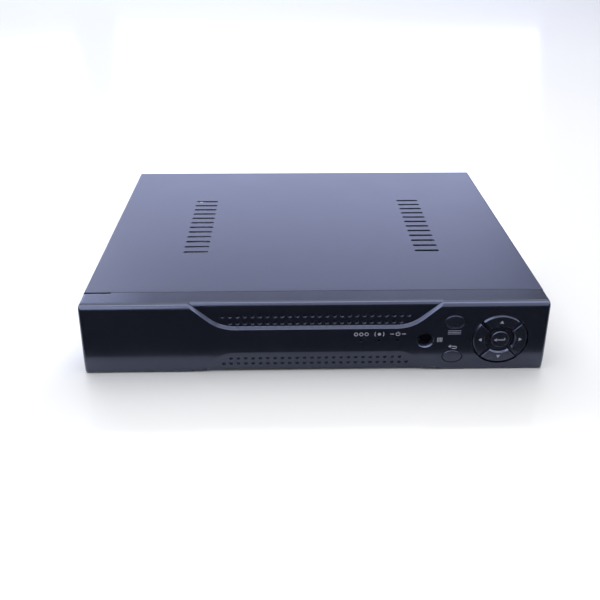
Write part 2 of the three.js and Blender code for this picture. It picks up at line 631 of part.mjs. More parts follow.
function makeDataSockets() {
  const mouth = PANEL_Y + 1;
  const socket = ({ x, width, height }, back) =>
    block(span(x, width), [back, mouth], [SOCKET_BASE, SOCKET_BASE + height]);
  const hollow = (x, width, z0, z1, depth) =>
    block(span(x, width), [mouth - depth, mouth + 1], [z0, z1]);

  const hdmiTongue = block(
    span(HDMI.x, 11), [mouth - 10, mouth - 1], [SOCKET_BASE + 2.4, SOCKET_BASE + 3.6]);
  const hdmiMouth = hollow(HDMI.x, HDMI.width - 1.4, SOCKET_BASE + 0.7, SOCKET_BASE + 5.3, 9);
  piece('hdmi_socket', joined(cut(socket(HDMI, mouth - 12), hdmiMouth), hdmiTongue), STEEL);

  const usbMouths = [0, 1].map((row) => {
    const z0 = SOCKET_BASE + 1.2 + row * 7.8;
    return cut(
      hollow(USB.x, USB.width - 1.4, z0, z0 + 5.8, 11),
      block(span(USB.x, 11), [mouth - 12, mouth - 1], [z0 + 3.4, z0 + 5.2]),
    );
  });
  piece('usb_sockets', cut(socket(USB, mouth - 16), ...usbMouths), STEEL);

  const lanMouth = hollow(LAN.x, 11.9, SOCKET_BASE + 2.6, SOCKET_BASE + 11, 12);
  const latch = hollow(LAN.x, 5, SOCKET_BASE + 1, SOCKET_BASE + 3, 12);
  piece('network_socket', cut(socket(LAN, mouth - 20), lanMouth, latch), STEEL);

  const powerZ = SOCKET_BASE + POWER.height / 2;
  const bore = [[0, 12.1], [3, 12.1], [3, 1.6], [1, 1.6], [1, 10], [0, 10]];
  const cavity = turned(bore.reverse(), [POWER.x, mouth - 12, powerZ], [0, 1, 0], 16);
  piece('power_socket', cut(socket(POWER, mouth - 14), cavity), SOCKET_PLASTIC);
}

function makeRearPanel() {
  const half = HALF - SHEET - GAP;
  const plate = block([-half, half], [PANEL_Y - SHEET, PANEL_Y], [BASE_TOP + GAP, CASE_TOP - SHEET - GAP]);
  const flangeDepth = [PANEL_Y - 8, PANEL_Y - SHEET + LAP];
  const flange = block([2 - half, half - 2], flangeDepth, [BASE_TOP + GAP, BASE_TOP + GAP + SHEET]);
  const through = [PANEL_Y - SHEET - 1, PANEL_Y + 1];
  const bore = (x, z, radius) => rod(radius, 3, [x, PANEL_Y - SHEET - 1, z], [0, 1, 0]);
  const window = ({ x, width, height }) =>
    block(span(x, width + 2 * GAP), through, [SOCKET_BASE - GAP, SOCKET_BASE + height + GAP]);
  const cutters = [
    bore(BNC_X[0], ROW_Z[0], 6.5), bore(BNC_X[0], ROW_Z[1], 6.5), bore(BNC_X[1], ROW_Z[0], 6.5),
    bore(BNC_X[1], ROW_Z[1], 6.5), bore(BNC_X[2], ROW_Z[1], 6.5), bore(BNC_X[2], ROW_Z[0], 5.4),
    block(span(VGA.x, VGA.width - 1), through, span(SOCKET_BASE + VGA.height / 2, 9)),
    window(HDMI), window(USB), window(LAN), window(POWER),
    ...REAR_SCREWS_X.map((x) => bore(x, REAR_SCREW_Z, 1.7)),
    ...fanSlots(through),
  ];
  for (const side of [-1, 1]) {
    for (const z of AUDIO.z) cutters.push(bore(AUDIO.x + side * AUDIO.pitch / 2, z, 5.4));
  }
  piece('rear_panel', cut(joined(plate, flange), ...cutters), BLACK_PAINT);
}

// The fan's guard is rings of curved slots in the rear panel.
function fanSlots([from, to]) {
  const slots = [];
  const bridge = 0.2;
  for (const radius of [8, 12.5, 17]) {
    for (let i = 0; i < 4; i += 1) {
      const start = i * Math.PI / 2 + Math.PI / 4 + bridge;
      const end = (i + 1) * Math.PI / 2 + Math.PI / 4 - bridge;
      const shape = new THREE.Shape();
      shape.absarc(FAN.x, FAN.z, radius + 1.5, start, end);
      shape.absarc(FAN.x, FAN.z, radius - 1.5, end, start, true);
      slots.push(prism('Y', shape, from, to));
    }
  }
  return slots;
}

// ---------------------------------------------------------------- fan
const FAN_BACK = PANEL_Y - SHEET - GAP;
const FAN_FRONT = FAN_BACK - FAN.depth;

function makeFan() {
  const half = FAN.size / 2;
  const square = outline([[-half, -half], [half, -half], [half, half], [-half, half]]
    .map(([x, z]) => [FAN.x + x, FAN.z + z]));
  const strut = 1.8;
  const struts = [0, 120, 240].map((angle) =>
    block([-1.2, 1.2], [0, strut], [0, FAN.bore + 0.5]).rotate([0, angle, 0])
      .translate([FAN.x, FAN_BACK - strut, FAN.z]));
  const hub = rod(FAN.hub, strut, [FAN.x, FAN_BACK - strut, FAN.z], [0, 1, 0], 20);
  const frame = cut(
    prism('Y', square, FAN_FRONT, FAN_BACK),
    rod(FAN.bore, FAN.depth + 2, [FAN.x, FAN_FRONT - 1, FAN.z], [0, 1, 0], 28),
    ...[[-1, -1], [-1, 1], [1, -1], [1, 1]].map(([a, b]) =>
      rod(1.7, FAN.depth + 2, [FAN.x + a * 16, FAN_FRONT - 1, FAN.z + b * 16], [0, 1, 0], 8)),
  );
  piece('fan_frame', joined(frame, hub, ...struts), FAN_PLASTIC);

  const rotorLength = FAN.depth - strut - 1.2;
  const blades = [];
  for (let i = 0; i < 7; i += 1) {
    const blade = block([-0.6, 0.6], [-3.4, 3.4], [FAN.hub - 1, FAN.bore - 0.9]).rotate([0, 0, 38]);
    blades.push(blade.rotate([0, i * 360 / 7, 0]).translate([FAN.x, FAN_FRONT + 4.2, FAN.z]));
  }
  const cup = rod(FAN.hub, rotorLength, [FAN.x, FAN_FRONT + 0.6, FAN.z], [0, 1, 0], 20);
  piece('fan_rotor', joined(cup, ...blades), FAN_PLASTIC);
}

// ---------------------------------------------------------------- inside the case
function makeDrive() {
  const { x, y, width, depth, height } = DRIVE;
  const bottom = STANDOFF_TOP + GAP;
  const casting = block(span(x, width), span(y, depth), [bottom, bottom + height - 3]);
  const lid = block(span(x, width - 3), span(y, depth - 4), [bottom + height - 3.1, bottom + height]);
  const boardPocket = block(span(x, width - 14), [y - 30, y + depth / 2 + 1], [bottom - 1, bottom + 3]);
  const holes = driveHoles().map(([hx, hy]) => rod(1.8, 6, [hx, hy, bottom - 1], [0, 0, 1], 8));
  piece('hard_disk', cut(joined(casting, lid), boardPocket, ...holes), ALUMINIUM);
  const plate = block(span(x, width - 15), [y - 29, y + depth / 2 - 1], [bottom + 1, bottom + 2.5]);
  piece('hard_disk_board', plate, GREEN_BOARD);
}

function makeMainBoard() {
  const { x0, x1, y0, y1 } = MAIN_BOARD;
  const bottom = STANDOFF_TOP + GAP;
  const top = bottom + BOARD;
  const board = block([x0, x1], [y0, y1], [bottom, top]);
  const headers = [
    block(span(CABLE_X, CABLE_WIDTH + 4), [y0 + 2, y0 + 7], [top - LAP, top + HEADER_HEIGHT]),
    ...Object.values(DRIVE_HEADERS_Y).map((y) =>
      block(span(DRIVE_HEADER_X, 14), span(y, 6), [top - LAP, top + HEADER_HEIGHT])),
  ];
  piece('main_board', joined(board, ...headers), GREEN_BOARD);
  const chip = [52, 36];
  piece('processor', block(span(chip[0], 23), span(chip[1], 23), [top + GAP, top + GAP + 1.8]), CHIP);
  const sinkBottom = top + 2 * GAP + 1.8;
  const sinkSize = 32;
  const fins = [];
  for (let i = 0; i < 9; i += 1) {
    const x = chip[0] - sinkSize / 2 + 0.7 + i * (sinkSize - 1.4) / 8;
    fins.push(block(span(x, 1.2), span(chip[1], sinkSize), [sinkBottom + 1.9, sinkBottom + 9]));
  }
  const plate = block(span(chip[0], sinkSize), span(chip[1], sinkSize), [sinkBottom, sinkBottom + 2]);
  piece('heat_sink', joined(plate, ...fins), ALUMINIUM);
}

// A flat cable along a smooth route. Its section is width by thickness.
function flatCable(route, width, thickness, steps) {
  const points = route.map((point) => new THREE.Vector3(...point));
  const curve = new THREE.CatmullRomCurve3(points, false, 'centripetal');
  const section = outline([[-1, -1], [1, -1], [1, 1], [-1, 1]]
    .map(([a, b]) => [a * width / 2, b * thickness / 2]));
  return solid(new THREE.ExtrudeGeometry(section, { steps, extrudePath: curve, bevelEnabled: false }));
}

function makeCables() {
  const headerTop = STANDOFF_TOP + GAP + BOARD + HEADER_HEIGHT;
  const headerY = MAIN_BOARD.y0 + 4.5;
  const ribbon = [
    [CABLE_X, FRONT_BOARD_Y + BOARD + HEADER_DEPTH + GAP, 11], [CABLE_X, SEAM_Y + 7, 11],
    [CABLE_X, -84, 14], [CABLE_X, -62, 19], [CABLE_X, -34, 23], [CABLE_X, headerY - 8, 26],
    [CABLE_X, headerY - 1, 24], [CABLE_X, headerY, headerTop + GAP + 0.1],
  ];
  piece('front_panel_cable', flatCable(ribbon, CABLE_WIDTH, 1, 24), CABLE_GREY);
  const driveBack = DRIVE.y + DRIVE.depth / 2;
  const { data: dataY, power: powerY } = DRIVE_HEADERS_Y;
  const endX = DRIVE_HEADER_X;
  const data = [
    [-70, driveBack + 0.5, 17], [-69, driveBack + 10, 18], [-56, driveBack + 16, 22],
    [-38, driveBack + 8, 27], [endX, dataY + 9, 29], [endX, dataY + 1, 25], [endX, dataY, headerTop + 0.6],
  ];
  piece('drive_data_cable', flatCable(data, 6, 1.6, 24), CABLE_RED);
  const power = [
    [-92, driveBack + 0.5, 17], [-91, driveBack + 14, 17], [-76, driveBack + 30, 20],
    [-52, driveBack + 34, 25], [-36, powerY + 13, 28], [endX, powerY + 1, 25],
    [endX, powerY, headerTop + 0.6],
  ];
  piece('drive_power_cable', flatCable(power, 8, 2, 24), CABLE_GREY);
}

makeBezel();
makeCover();
makeChassis();
makeRearPanel();
makeKeys();
makeFrontBoard();
makeReceiver();
makeLeds();
makeMainBoard();
makeDrive();
makeCables();
makeFan();
makeSockets();
makeScrews();
makeFeet();

export default assembly;
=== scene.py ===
# The looks of a desktop video recorder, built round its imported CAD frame.
# Lengths in this script are millimetres in the part's own frame, and MM turns them into metres.
import random
from math import asin, cos, degrees, hypot, pi, radians, sin

import bmesh
import bpy
from mathutils import Matrix, Vector


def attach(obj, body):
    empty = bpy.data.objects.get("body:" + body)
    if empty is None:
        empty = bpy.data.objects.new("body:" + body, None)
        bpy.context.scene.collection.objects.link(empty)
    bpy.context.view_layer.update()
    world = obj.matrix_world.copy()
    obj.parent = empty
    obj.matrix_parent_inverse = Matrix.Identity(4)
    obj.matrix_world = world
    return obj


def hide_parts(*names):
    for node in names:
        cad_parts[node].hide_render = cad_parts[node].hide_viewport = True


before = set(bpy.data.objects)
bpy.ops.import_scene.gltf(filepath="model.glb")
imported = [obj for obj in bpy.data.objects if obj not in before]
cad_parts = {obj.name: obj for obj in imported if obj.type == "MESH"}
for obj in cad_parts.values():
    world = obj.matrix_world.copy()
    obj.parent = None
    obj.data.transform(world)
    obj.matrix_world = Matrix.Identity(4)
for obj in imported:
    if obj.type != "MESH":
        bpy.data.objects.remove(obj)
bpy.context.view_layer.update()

MM = 0.001
BODY = "recorder"

# ---- dimensions
HALF = 150.0
TOP = 51.0
SHEET = 1.0
WALL = 2.2
GAP = 0.3
SKIRT = 1.0  # underside of the bezel
BASE = 3.5  # underside of the steel base
FACE = -119.375
BACK = FACE + 227
SEAM = FACE + 16.8
COVER_FRONT = SEAM + GAP
PANEL = BACK - SHEET - GAP  # outer face of the rear panel
TIP = BACK + 12

EDGE_RADIUS = 4.0
CORNER_RADIUS = 2.2
CURL_HEIGHT = 13.5
CURL_DEPTH = 1.0
RECESS_DEPTH = 2.4
RECESS_LEDGE = 1.1
RECESS_BOTTOM = SKIRT + 31.55
RECESS_CORNER = 61.5
RECESS_SLOPE = 0.87
PATCH_SLOPE = 1.6
SHOULDER = 10.0
PATCH_TOP = SKIRT + 14.3
PATCH_CORNER = 62.5
PATCH_STEP = 0.3
PATCH_FALL = 1.8
NOTCH = 79.8

CONTROL_Z = SKIRT + 22.5
RING_X = 119.4
RING_RADIUS = 18.4
KEY_INNER = 9.1
ENTER_RADIUS = 6.0
SPOKE_HALF = 0.9
CLEARANCE = 0.35
DISH_DEPTH = 1.6
OVAL_X = 89.1
OVAL_Z = {"menu": SKIRT + 36.1, "escape": SKIRT + 9.8}
OVAL_SIZE = (12.8, 9.1)
KEY_PROUD = 0.2
STEM_END = FACE + 5.5  # where a key's stem ends, short of its switch
RECEIVER_X = 70.8
RECEIVER_RADIUS = 5.7
LED_X = {"spare": 29.2, "record": 40.85, "power": 52.85}
ARC = 12  # segments in a quarter turn of a small rounded edge

VENT_PITCH = 8.19
VENT_X = 83.4
SIDE_SCREWS_Y = (-70, 78)
SIDE_SCREW_Z = 11
REAR_SCREW_X = 60
REAR_SCREW_Z = 48


# ---- outlines in a plane
def arc(cx, cz, radius, start, end, steps):
    """Points on an arc, angles in degrees."""
    spots = []
    for i in range(steps + 1):
        angle = radians(start + (end - start) * i / steps)
        spots.append((cx + radius * cos(angle), cz + radius * sin(angle)))
    return spots


def circle(cx, cz, radius, steps=48):
    return arc(cx, cz, radius, 0, 360, steps)[:-1]


def oval(cx, cz, width, height, steps=64):
    return [(cx + x * width / 2, cz + z * height / 2) for x, z in circle(0, 0, 1, steps)]


def rectangle(x0, x1, z0, z1):
    return [(x0, z0), (x1, z0), (x1, z1), (x0, z1)]


def rounded(x0, x1, z0, z1, radius, steps=5):
    return (
        arc(x1 - radius, z0 + radius, radius, -90, 0, steps)
        + arc(x1 - radius, z1 - radius, radius, 0, 90, steps)
        + arc(x0 + radius, z1 - radius, radius, 90, 180, steps)
        + arc(x0 + radius, z0 + radius, radius, 180, 270, steps)
    )


def bezier(a, b, c, steps):
    """A quadratic curve from a to c, pulled towards b."""
    times = [i / steps for i in range(steps + 1)]
    return [
        tuple((1 - t) ** 2 * p + 2 * t * (1 - t) * q + t * t * r for p, q, r in zip(a, b, c))
        for t in times
    ]


def about(centre, width):
    return centre - width / 2, centre + width / 2


def soft_corners(outline, radius, steps=4):
    """The outline with each corner cut round."""
    spots = []
    count = len(outline)
    for i in range(count):
        here = Vector(outline[i])
        before = here + (Vector(outline[i - 1]) - here).normalized() * radius
        after = here + (Vector(outline[(i + 1) % count]) - here).normalized() * radius
        spots += bezier(tuple(before), tuple(here), tuple(after), steps)
    return spots


def inset_by(outline, inset):
    """The outline pulled in by a distance, or let out where it is negative."""
    if not inset:
        return list(outline)
    count = len(outline)
    area = sum(a * d - b * c for (a, b), (c, d) in zip(outline, [*outline[1:], outline[0]]))
    turn = 1 if area > 0 else -1
    moved = []
    for i in range(count):
        before, here, after = outline[i - 1], outline[i], outline[(i + 1) % count]
        first = Vector((here[0] - before[0], here[1] - before[1])).normalized()
        second = Vector((after[0] - here[0], after[1] - here[1])).normalized()
        normal = Vector((-first.y - second.y, first.x + second.x)) * turn
        scale = inset / max(0.3, 1 + first.dot(second))
        moved.append((here[0] + normal.x * scale, here[1] + normal.y * scale))
    return moved


# ---- solids, as (points, faces)
def loft(rings):
    count = len(rings[0])
    points = [p for ring in rings for p in ring]
    faces = []
    for row in range(0, (len(rings) - 1) * count, count):
        for j in range(count):
            k = (j + 1) % count
            faces.append((row + j, row + k, row + count + k, row + count + j))
    faces.append(tuple(reversed(range(count))))
    faces.append(tuple(range(len(points) - count, len(points))))
    return points, faces


AXES = {
    "X": lambda a, b, s: (s, a, b),
    "Y": lambda a, b, s: (a, s, b),
    "Z": lambda a, b, s: (a, b, s),
}


def stack(outline, stations, axis="Y"):
    """A solid along an axis. Each station is (where, inset) for its copy of the outline."""
    place = AXES[axis]
    return loft([[place(a, b, at) for a, b in inset_by(outline, inset)] for at, inset in stations])


def prism(outline, start, end, axis="Y"):
    return stack(outline, [(start, 0), (end, 0)], axis)


def box(xs, ys, zs, edge=0.0):
    """A block with its edges chamfered by edge."""
    outline = rectangle(*xs, *zs)
    if not edge:
        return prism(outline, *ys)
    corners = rounded(*xs, *zs, edge, 1)
    return stack(corners, [(ys[0], edge), (ys[0] + edge, 0), (ys[1] - edge, 0), (ys[1], edge)])


def crown(start, radius, side=1, steps=5, forward=1):
    """Stations that round an edge: a solid's own end, or with side -1 a hole's mouth."""
    angles = [radians(90 * i / steps) for i in range(steps + 1)]
    return [
        (start + forward * radius * (1 - cos(angle)), side * radius * (1 - sin(angle)))
        for angle in angles
    ]


def placed(part, origin, direction):
    """A part drawn along +Y from zero, moved to an origin and turned to a direction."""
    turn = Vector((0, 1, 0)).rotation_difference(Vector(direction))
    points, faces = part
    return [Vector(origin) + turn @ Vector(p) for p in points], faces


def turned(profile, origin, direction=(0, 1, 0), sides=40):
    """A turned solid: (radius, distance) pairs, both ends on the axis."""
    points = []
    faces = []
    rows = []
    for radius, along in profile:
        if radius < 1e-6:
            rows.append([len(points)])
            points.append((0, along, 0))
            continue
        rows.append(list(range(len(points), len(points) + sides)))
        points += [(x, along, z) for x, z in circle(0, 0, radius, sides)]
    for low, high in zip(rows, rows[1:]):
        for j in range(sides):
            k = (j + 1) % sides
            corners = [low[j % len(low)], low[k % len(low)]]
            corners += [high[k % len(high)], high[j % len(high)]]
            face = tuple(dict.fromkeys(corners))
            if len(face) > 2:
                faces.append(face)
    return placed((points, faces), origin, direction)


def rod(radius, length, origin, direction=(0, 1, 0), sides=24, edge=0.0):
    profile = [(0, 0), (radius, 0), (radius, length), (0, length)]
    if edge:
        profile = [(0, 0), (radius - edge, 0), (radius, edge), (radius, length - edge)]
        profile += [(radius - edge, length), (0, length)]
    return turned(profile, origin, direction, sides)


# ---- meshes and pieces
def mesh_of(name, parts):
    """A mesh made of parts. A mesh is passed on as it is."""
    if isinstance(parts, bpy.types.Mesh):
        return parts
    made = bmesh.new()
    for points, faces in parts:
        corners = [made.verts.new(Vector(p) * MM) for p in points]
        for face in faces:
            made.faces.new([corners[i] for i in face])
    bmesh.ops.recalc_face_normals(made, faces=made.faces)
    mesh = bpy.data.meshes.new(name)
    made.to_mesh(mesh)
    made.free()
    return mesh


def add_object(name, data):
    made = bpy.data.objects.new(name, data)
    bpy.context.scene.collection.objects.link(made)
    return made


def carve(name, parts, cuts=(), adds=()):
    """The parts as one mesh, less each list of cutters, plus each list of additions."""
    target = add_object(name, mesh_of(name, parts))
    helpers = []
    for operation, lists in (("DIFFERENCE", cuts), ("UNION", adds)):
        for solids in lists:
            helper = add_object(name + "_cutter", mesh_of(name + "_cutter", solids))
            helpers.append(helper)
            modifier = target.modifiers.new("cut", "BOOLEAN")
            modifier.operation = operation
            modifier.solver = "MANIFOLD"
            modifier.object = helper
    graph = bpy.context.evaluated_depsgraph_get()
    mesh = bpy.data.meshes.new_from_object(target.evaluated_get(graph))
    for extra in (target, *helpers):
        bpy.data.objects.remove(extra)
    flatten(mesh)
    return mesh


def flatten(mesh, angle=0.3):
    """Joins flat faces that were split."""
    made = bmesh.new()
    made.from_mesh(mesh)
    bmesh.ops.remove_doubles(made, verts=made.verts, dist=2e-6)
    limit = radians(angle)
    bmesh.ops.dissolve_limit(made, angle_limit=limit, verts=made.verts, edges=made.edges)
    made.to_mesh(mesh)
    made.free()


def show(name, mesh, material, slot=None, stands_for=(), body=BODY, angle=35, weighted=False):
    """A piece of the recorder, from a mesh or from parts."""
    mesh = mesh_of(name, mesh)
    mesh.name = name
    mesh.materials.clear()
    mesh.materials.append(material)
    piece = add_object(name, mesh)
    mesh.shade_smooth()
    mesh.set_sharp_from_angle(angle=radians(angle))
    if weighted:
        modifier = piece.modifiers.new("normals", "WEIGHTED_NORMAL")
        modifier.keep_sharp = True
        modifier.weight = 100
    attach(piece, body)
    if stands_for:
        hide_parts(*stands_for)
    return piece


def refined(node, material, slot, edge):
    """A CAD node's own shape with its edges softened."""
    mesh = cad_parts[node].data.copy()
    flatten(mesh, 0.6)
    piece = show(node + "_shape", mesh, material, slot, [node])
    modifier = piece.modifiers.new("edges", "BEVEL")
    modifier.width = edge * MM
    modifier.segments = 2
    modifier.limit_method = "ANGLE"
    modifier.angle_limit = radians(38)
    modifier.harden_normals = True


# ---- materials
def finish(name, color, roughness, metallic=0.0, grain=None, mottle=None, smudge=0.0, **sockets):
    """A procedural finish. grain is (size mm, height mm), mottle (size mm, second colour)."""
    made = bpy.data.materials.new(name)
    made.use_nodes = True
    tree = made.node_tree
    shader = tree.nodes["Principled BSDF"]
    shader.inputs["Base Color"].default_value = (*color, 1)
    shader.inputs["Roughness"].default_value = roughness
    shader.inputs["Metallic"].default_value = metallic
    for key, value in sockets.items():
        shader.inputs[key.replace("_", " ")].default_value = value
    new = tree.nodes.new
    where = new("ShaderNodeTexCoord")
    link = tree.links.new

    def noise(size, detail=3.0):
        texture = new("ShaderNodeTexNoise")
        texture.inputs["Scale"].default_value = 1 / (size * MM)
        texture.inputs["Detail"].default_value = detail
        link(where.outputs["Object"], texture.inputs["Vector"])
        return texture

    if grain:
        bump = new("ShaderNodeBump")
        bump.inputs["Strength"].default_value = 0.6
        bump.inputs["Distance"].default_value = grain[1] * MM
        link(noise(grain[0]).outputs["Fac"], bump.inputs["Height"])
        link(bump.outputs["Normal"], shader.inputs["Normal"])
    if mottle:
        ramp = new("ShaderNodeValToRGB")
        stops = ramp.color_ramp.elements
        for stop, at, tint in zip(stops, (0.35, 0.7), (color, mottle[1])):
            stop.position = at
            stop.color = (*tint, 1)
        link(noise(mottle[0]).outputs["Fac"], ramp.inputs["Fac"])
        link(ramp.outputs["Color"], shader.inputs["Base Color"])
    if smudge:
        spread = new("ShaderNodeMapRange")
        spread.inputs["To Min"].default_value = roughness - smudge
        spread.inputs["To Max"].default_value = roughness + smudge
        link(noise(28, 4).outputs["Fac"], spread.inputs["Value"])
        link(spread.outputs["Result"], shader.inputs["Roughness"])
    return made


def mottled(name, color, second, roughness, grain, patch):
    """A finish whose colour shifts in patches towards a second one."""
    return finish(name, color, roughness, grain=grain, mottle=(patch, second))


BLUE_GLOSS = {"Specular_IOR_Level": 0.74, "Specular_Tint": (0.65, 0.715, 1.0, 1)}
PAINT = finish(
    "powder_coat", (0.018, 0.022, 0.06), 0.34,
    grain=(0.55, 0.01), mottle=(14, (0.02, 0.0245, 0.066)), smudge=0.03,
)
PLASTIC = finish(
    "black_moulding", (0.0092, 0.0105, 0.0172), 0.24,
    grain=(0.35, 0.004), mottle=(20, (0.01, 0.0113, 0.0185)), smudge=0.03, **BLUE_GLOSS,
)
KEYCAP = finish(
    "key_moulding", (0.0098, 0.011, 0.018), 0.27,
    grain=(0.3, 0.003), mottle=(9, (0.0108, 0.012, 0.0195)), smudge=0.03, **BLUE_GLOSS,
)
SMOKE = finish(
    "smoked_window", (0.004, 0.003, 0.006), 0.12,
    grain=(2.0, 0.002), smudge=0.02, Specular_IOR_Level=0.35,
)
ZINC = finish(
    "zinc_steel", (0.5, 0.51, 0.52), 0.36, 1.0,
    grain=(0.8, 0.004), mottle=(9, (0.42, 0.43, 0.45)), smudge=0.08,
)
NICKEL = finish("nickel_plate", (0.66, 0.65, 0.62), 0.22, 1.0, grain=(0.5, 0.002), smudge=0.06)
GOLD = finish("gold_contact", (0.85, 0.6, 0.25), 0.25, 1.0, grain=(0.4, 0.001), smudge=0.05)
ALUMINIUM = finish(
    "cast_aluminium", (0.55, 0.56, 0.58), 0.42, 1.0,
    grain=(0.7, 0.01), mottle=(12, (0.5, 0.51, 0.53)), smudge=0.06,
)
BOARD_GREEN = finish(
    "solder_mask", (0.012, 0.11, 0.05), 0.35,
    grain=(1.3, 0.02), mottle=(3.0, (0.02, 0.16, 0.075)), smudge=0.05,
)
PRINT = mottled("printed_marks", (0.3, 0.31, 0.37), (0.27, 0.28, 0.34), 0.6, (0.2, 0.002), 2)
LENS = mottled("led_lens", (0.03, 0.032, 0.036), (0.024, 0.026, 0.03), 0.25, (0.6, 0.002), 1)
GREEN_LENS = mottled("green_lens", (0.05, 0.3, 0.06), (0.04, 0.24, 0.05), 0.3, (0.6, 0.002), 1)
AMBER_LENS = mottled("amber_lens", (0.45, 0.24, 0.03), (0.38, 0.2, 0.02), 0.3, (0.6, 0.002), 1)
EPOXY = mottled("moulded_epoxy", (0.016, 0.016, 0.018), (0.022, 0.022, 0.024), 0.5, (0.25, 0.004), 3)
RUBBER = mottled("rubber", (0.015, 0.015, 0.015), (0.022, 0.022, 0.022), 0.8, (0.4, 0.02), 4)
FAN_BLACK = mottled("fan_moulding", (0.018, 0.018, 0.02), (0.024, 0.024, 0.026), 0.4, (0.4, 0.004), 6)
SOCKET_BLACK = mottled(
    "socket_moulding", (0.02, 0.02, 0.022), (0.026, 0.026, 0.028), 0.42, (0.4, 0.004), 5,
)
WHITE_PLASTIC = mottled("white_insulator", (0.75, 0.75, 0.72), (0.7, 0.7, 0.66), 0.35, (0.4, 0.003), 3)
BLUE_PLASTIC = mottled("blue_insulator", (0.02, 0.06, 0.42), (0.02, 0.07, 0.36), 0.35, (0.4, 0.003), 3)
RED_PLASTIC = mottled("red_insulator", (0.5, 0.02, 0.02), (0.44, 0.02, 0.02), 0.35, (0.4, 0.003), 3)
CABLE_RED = mottled("red_sheath", (0.4, 0.015, 0.012), (0.34, 0.012, 0.01), 0.45, (0.6, 0.01), 5)
CABLE_GREY = mottled("grey_sheath", (0.3, 0.31, 0.33), (0.26, 0.27, 0.29), 0.5, (0.6, 0.01), 5)


# ---- front bezel
def bezel_section(inset, back, bottom=None):
    """(y, z) points of the bezel's section, pulled in by a wall thickness."""
    front = FACE + inset
    bottom = SKIRT + inset if bottom is None else bottom
    top = TOP - inset
    radius = EDGE_RADIUS - inset / 2
    spots = [(back, bottom), (back, top)]
    spots += arc(front + radius, top - radius, radius, 90, 180, ARC)
    steps = 2 * ARC
    for i in range(steps + 1):
        z = SKIRT + CURL_HEIGHT + (bottom - SKIRT - CURL_HEIGHT) * i / steps
        spots.append((front + curl(z), z))
    return spots


def curl(z):
    """How far the face has curled back at a height."""
    return CURL_DEPTH * (max(0.0, SKIRT + CURL_HEIGHT - z) / CURL_HEIGHT) ** 2


def bezel_blank():
    """The bezel's outside, longer at the back and at the bottom, where it is cut off square."""
    right = crown(HALF, CORNER_RADIUS, 1, 8, -1)
    left = [(-at, inset) for at, inset in right]
    return stack(bezel_section(0, SEAM + 6, SKIRT - 5), left + right[::-1], "X")


def swoosh(corner, edge, slope, height):
    """A flat edge between two sides that rise by slope, or fall where it is negative."""
    along = SHOULDER / hypot(1, slope)

    def side(run):
        return corner + run, edge + slope * run

    x, z = side(along)
    far_x, far_z = side(height / abs(slope))
    left = bezier((-x, z), (-corner, edge), (SHOULDER - corner, edge), 14)
    right = bezier((corner - SHOULDER, edge), (corner, edge), (x, z), 14)
    return [(-far_x, far_z), *left, *right, (far_x, far_z)]


def sector(turns, inner, outer, clearance):
    """One quarter of the ring of keys. turns is 0 for up, then clockwise."""
    middle = 90 - 90 * turns
    offset = SPOKE_HALF + clearance
    far = 45 - degrees(asin(offset / outer))
    near = 45 - degrees(asin(offset / inner))
    return arc(RING_X, CONTROL_Z, outer, middle - far, middle + far, 26) + arc(
        RING_X, CONTROL_Z, inner, middle + near, middle - near, 14
    )


def patch_depth(z):
    """How far behind the face the patch lies at a height."""
    return PATCH_STEP + (PATCH_FALL - PATCH_STEP) * (PATCH_TOP - z) / (PATCH_TOP - SKIRT)


def dot_rows(rows, pitch=4.77):
    for z, count in rows:
        for i in range(count):
            yield (i - (count - 1) / 2) * pitch, z


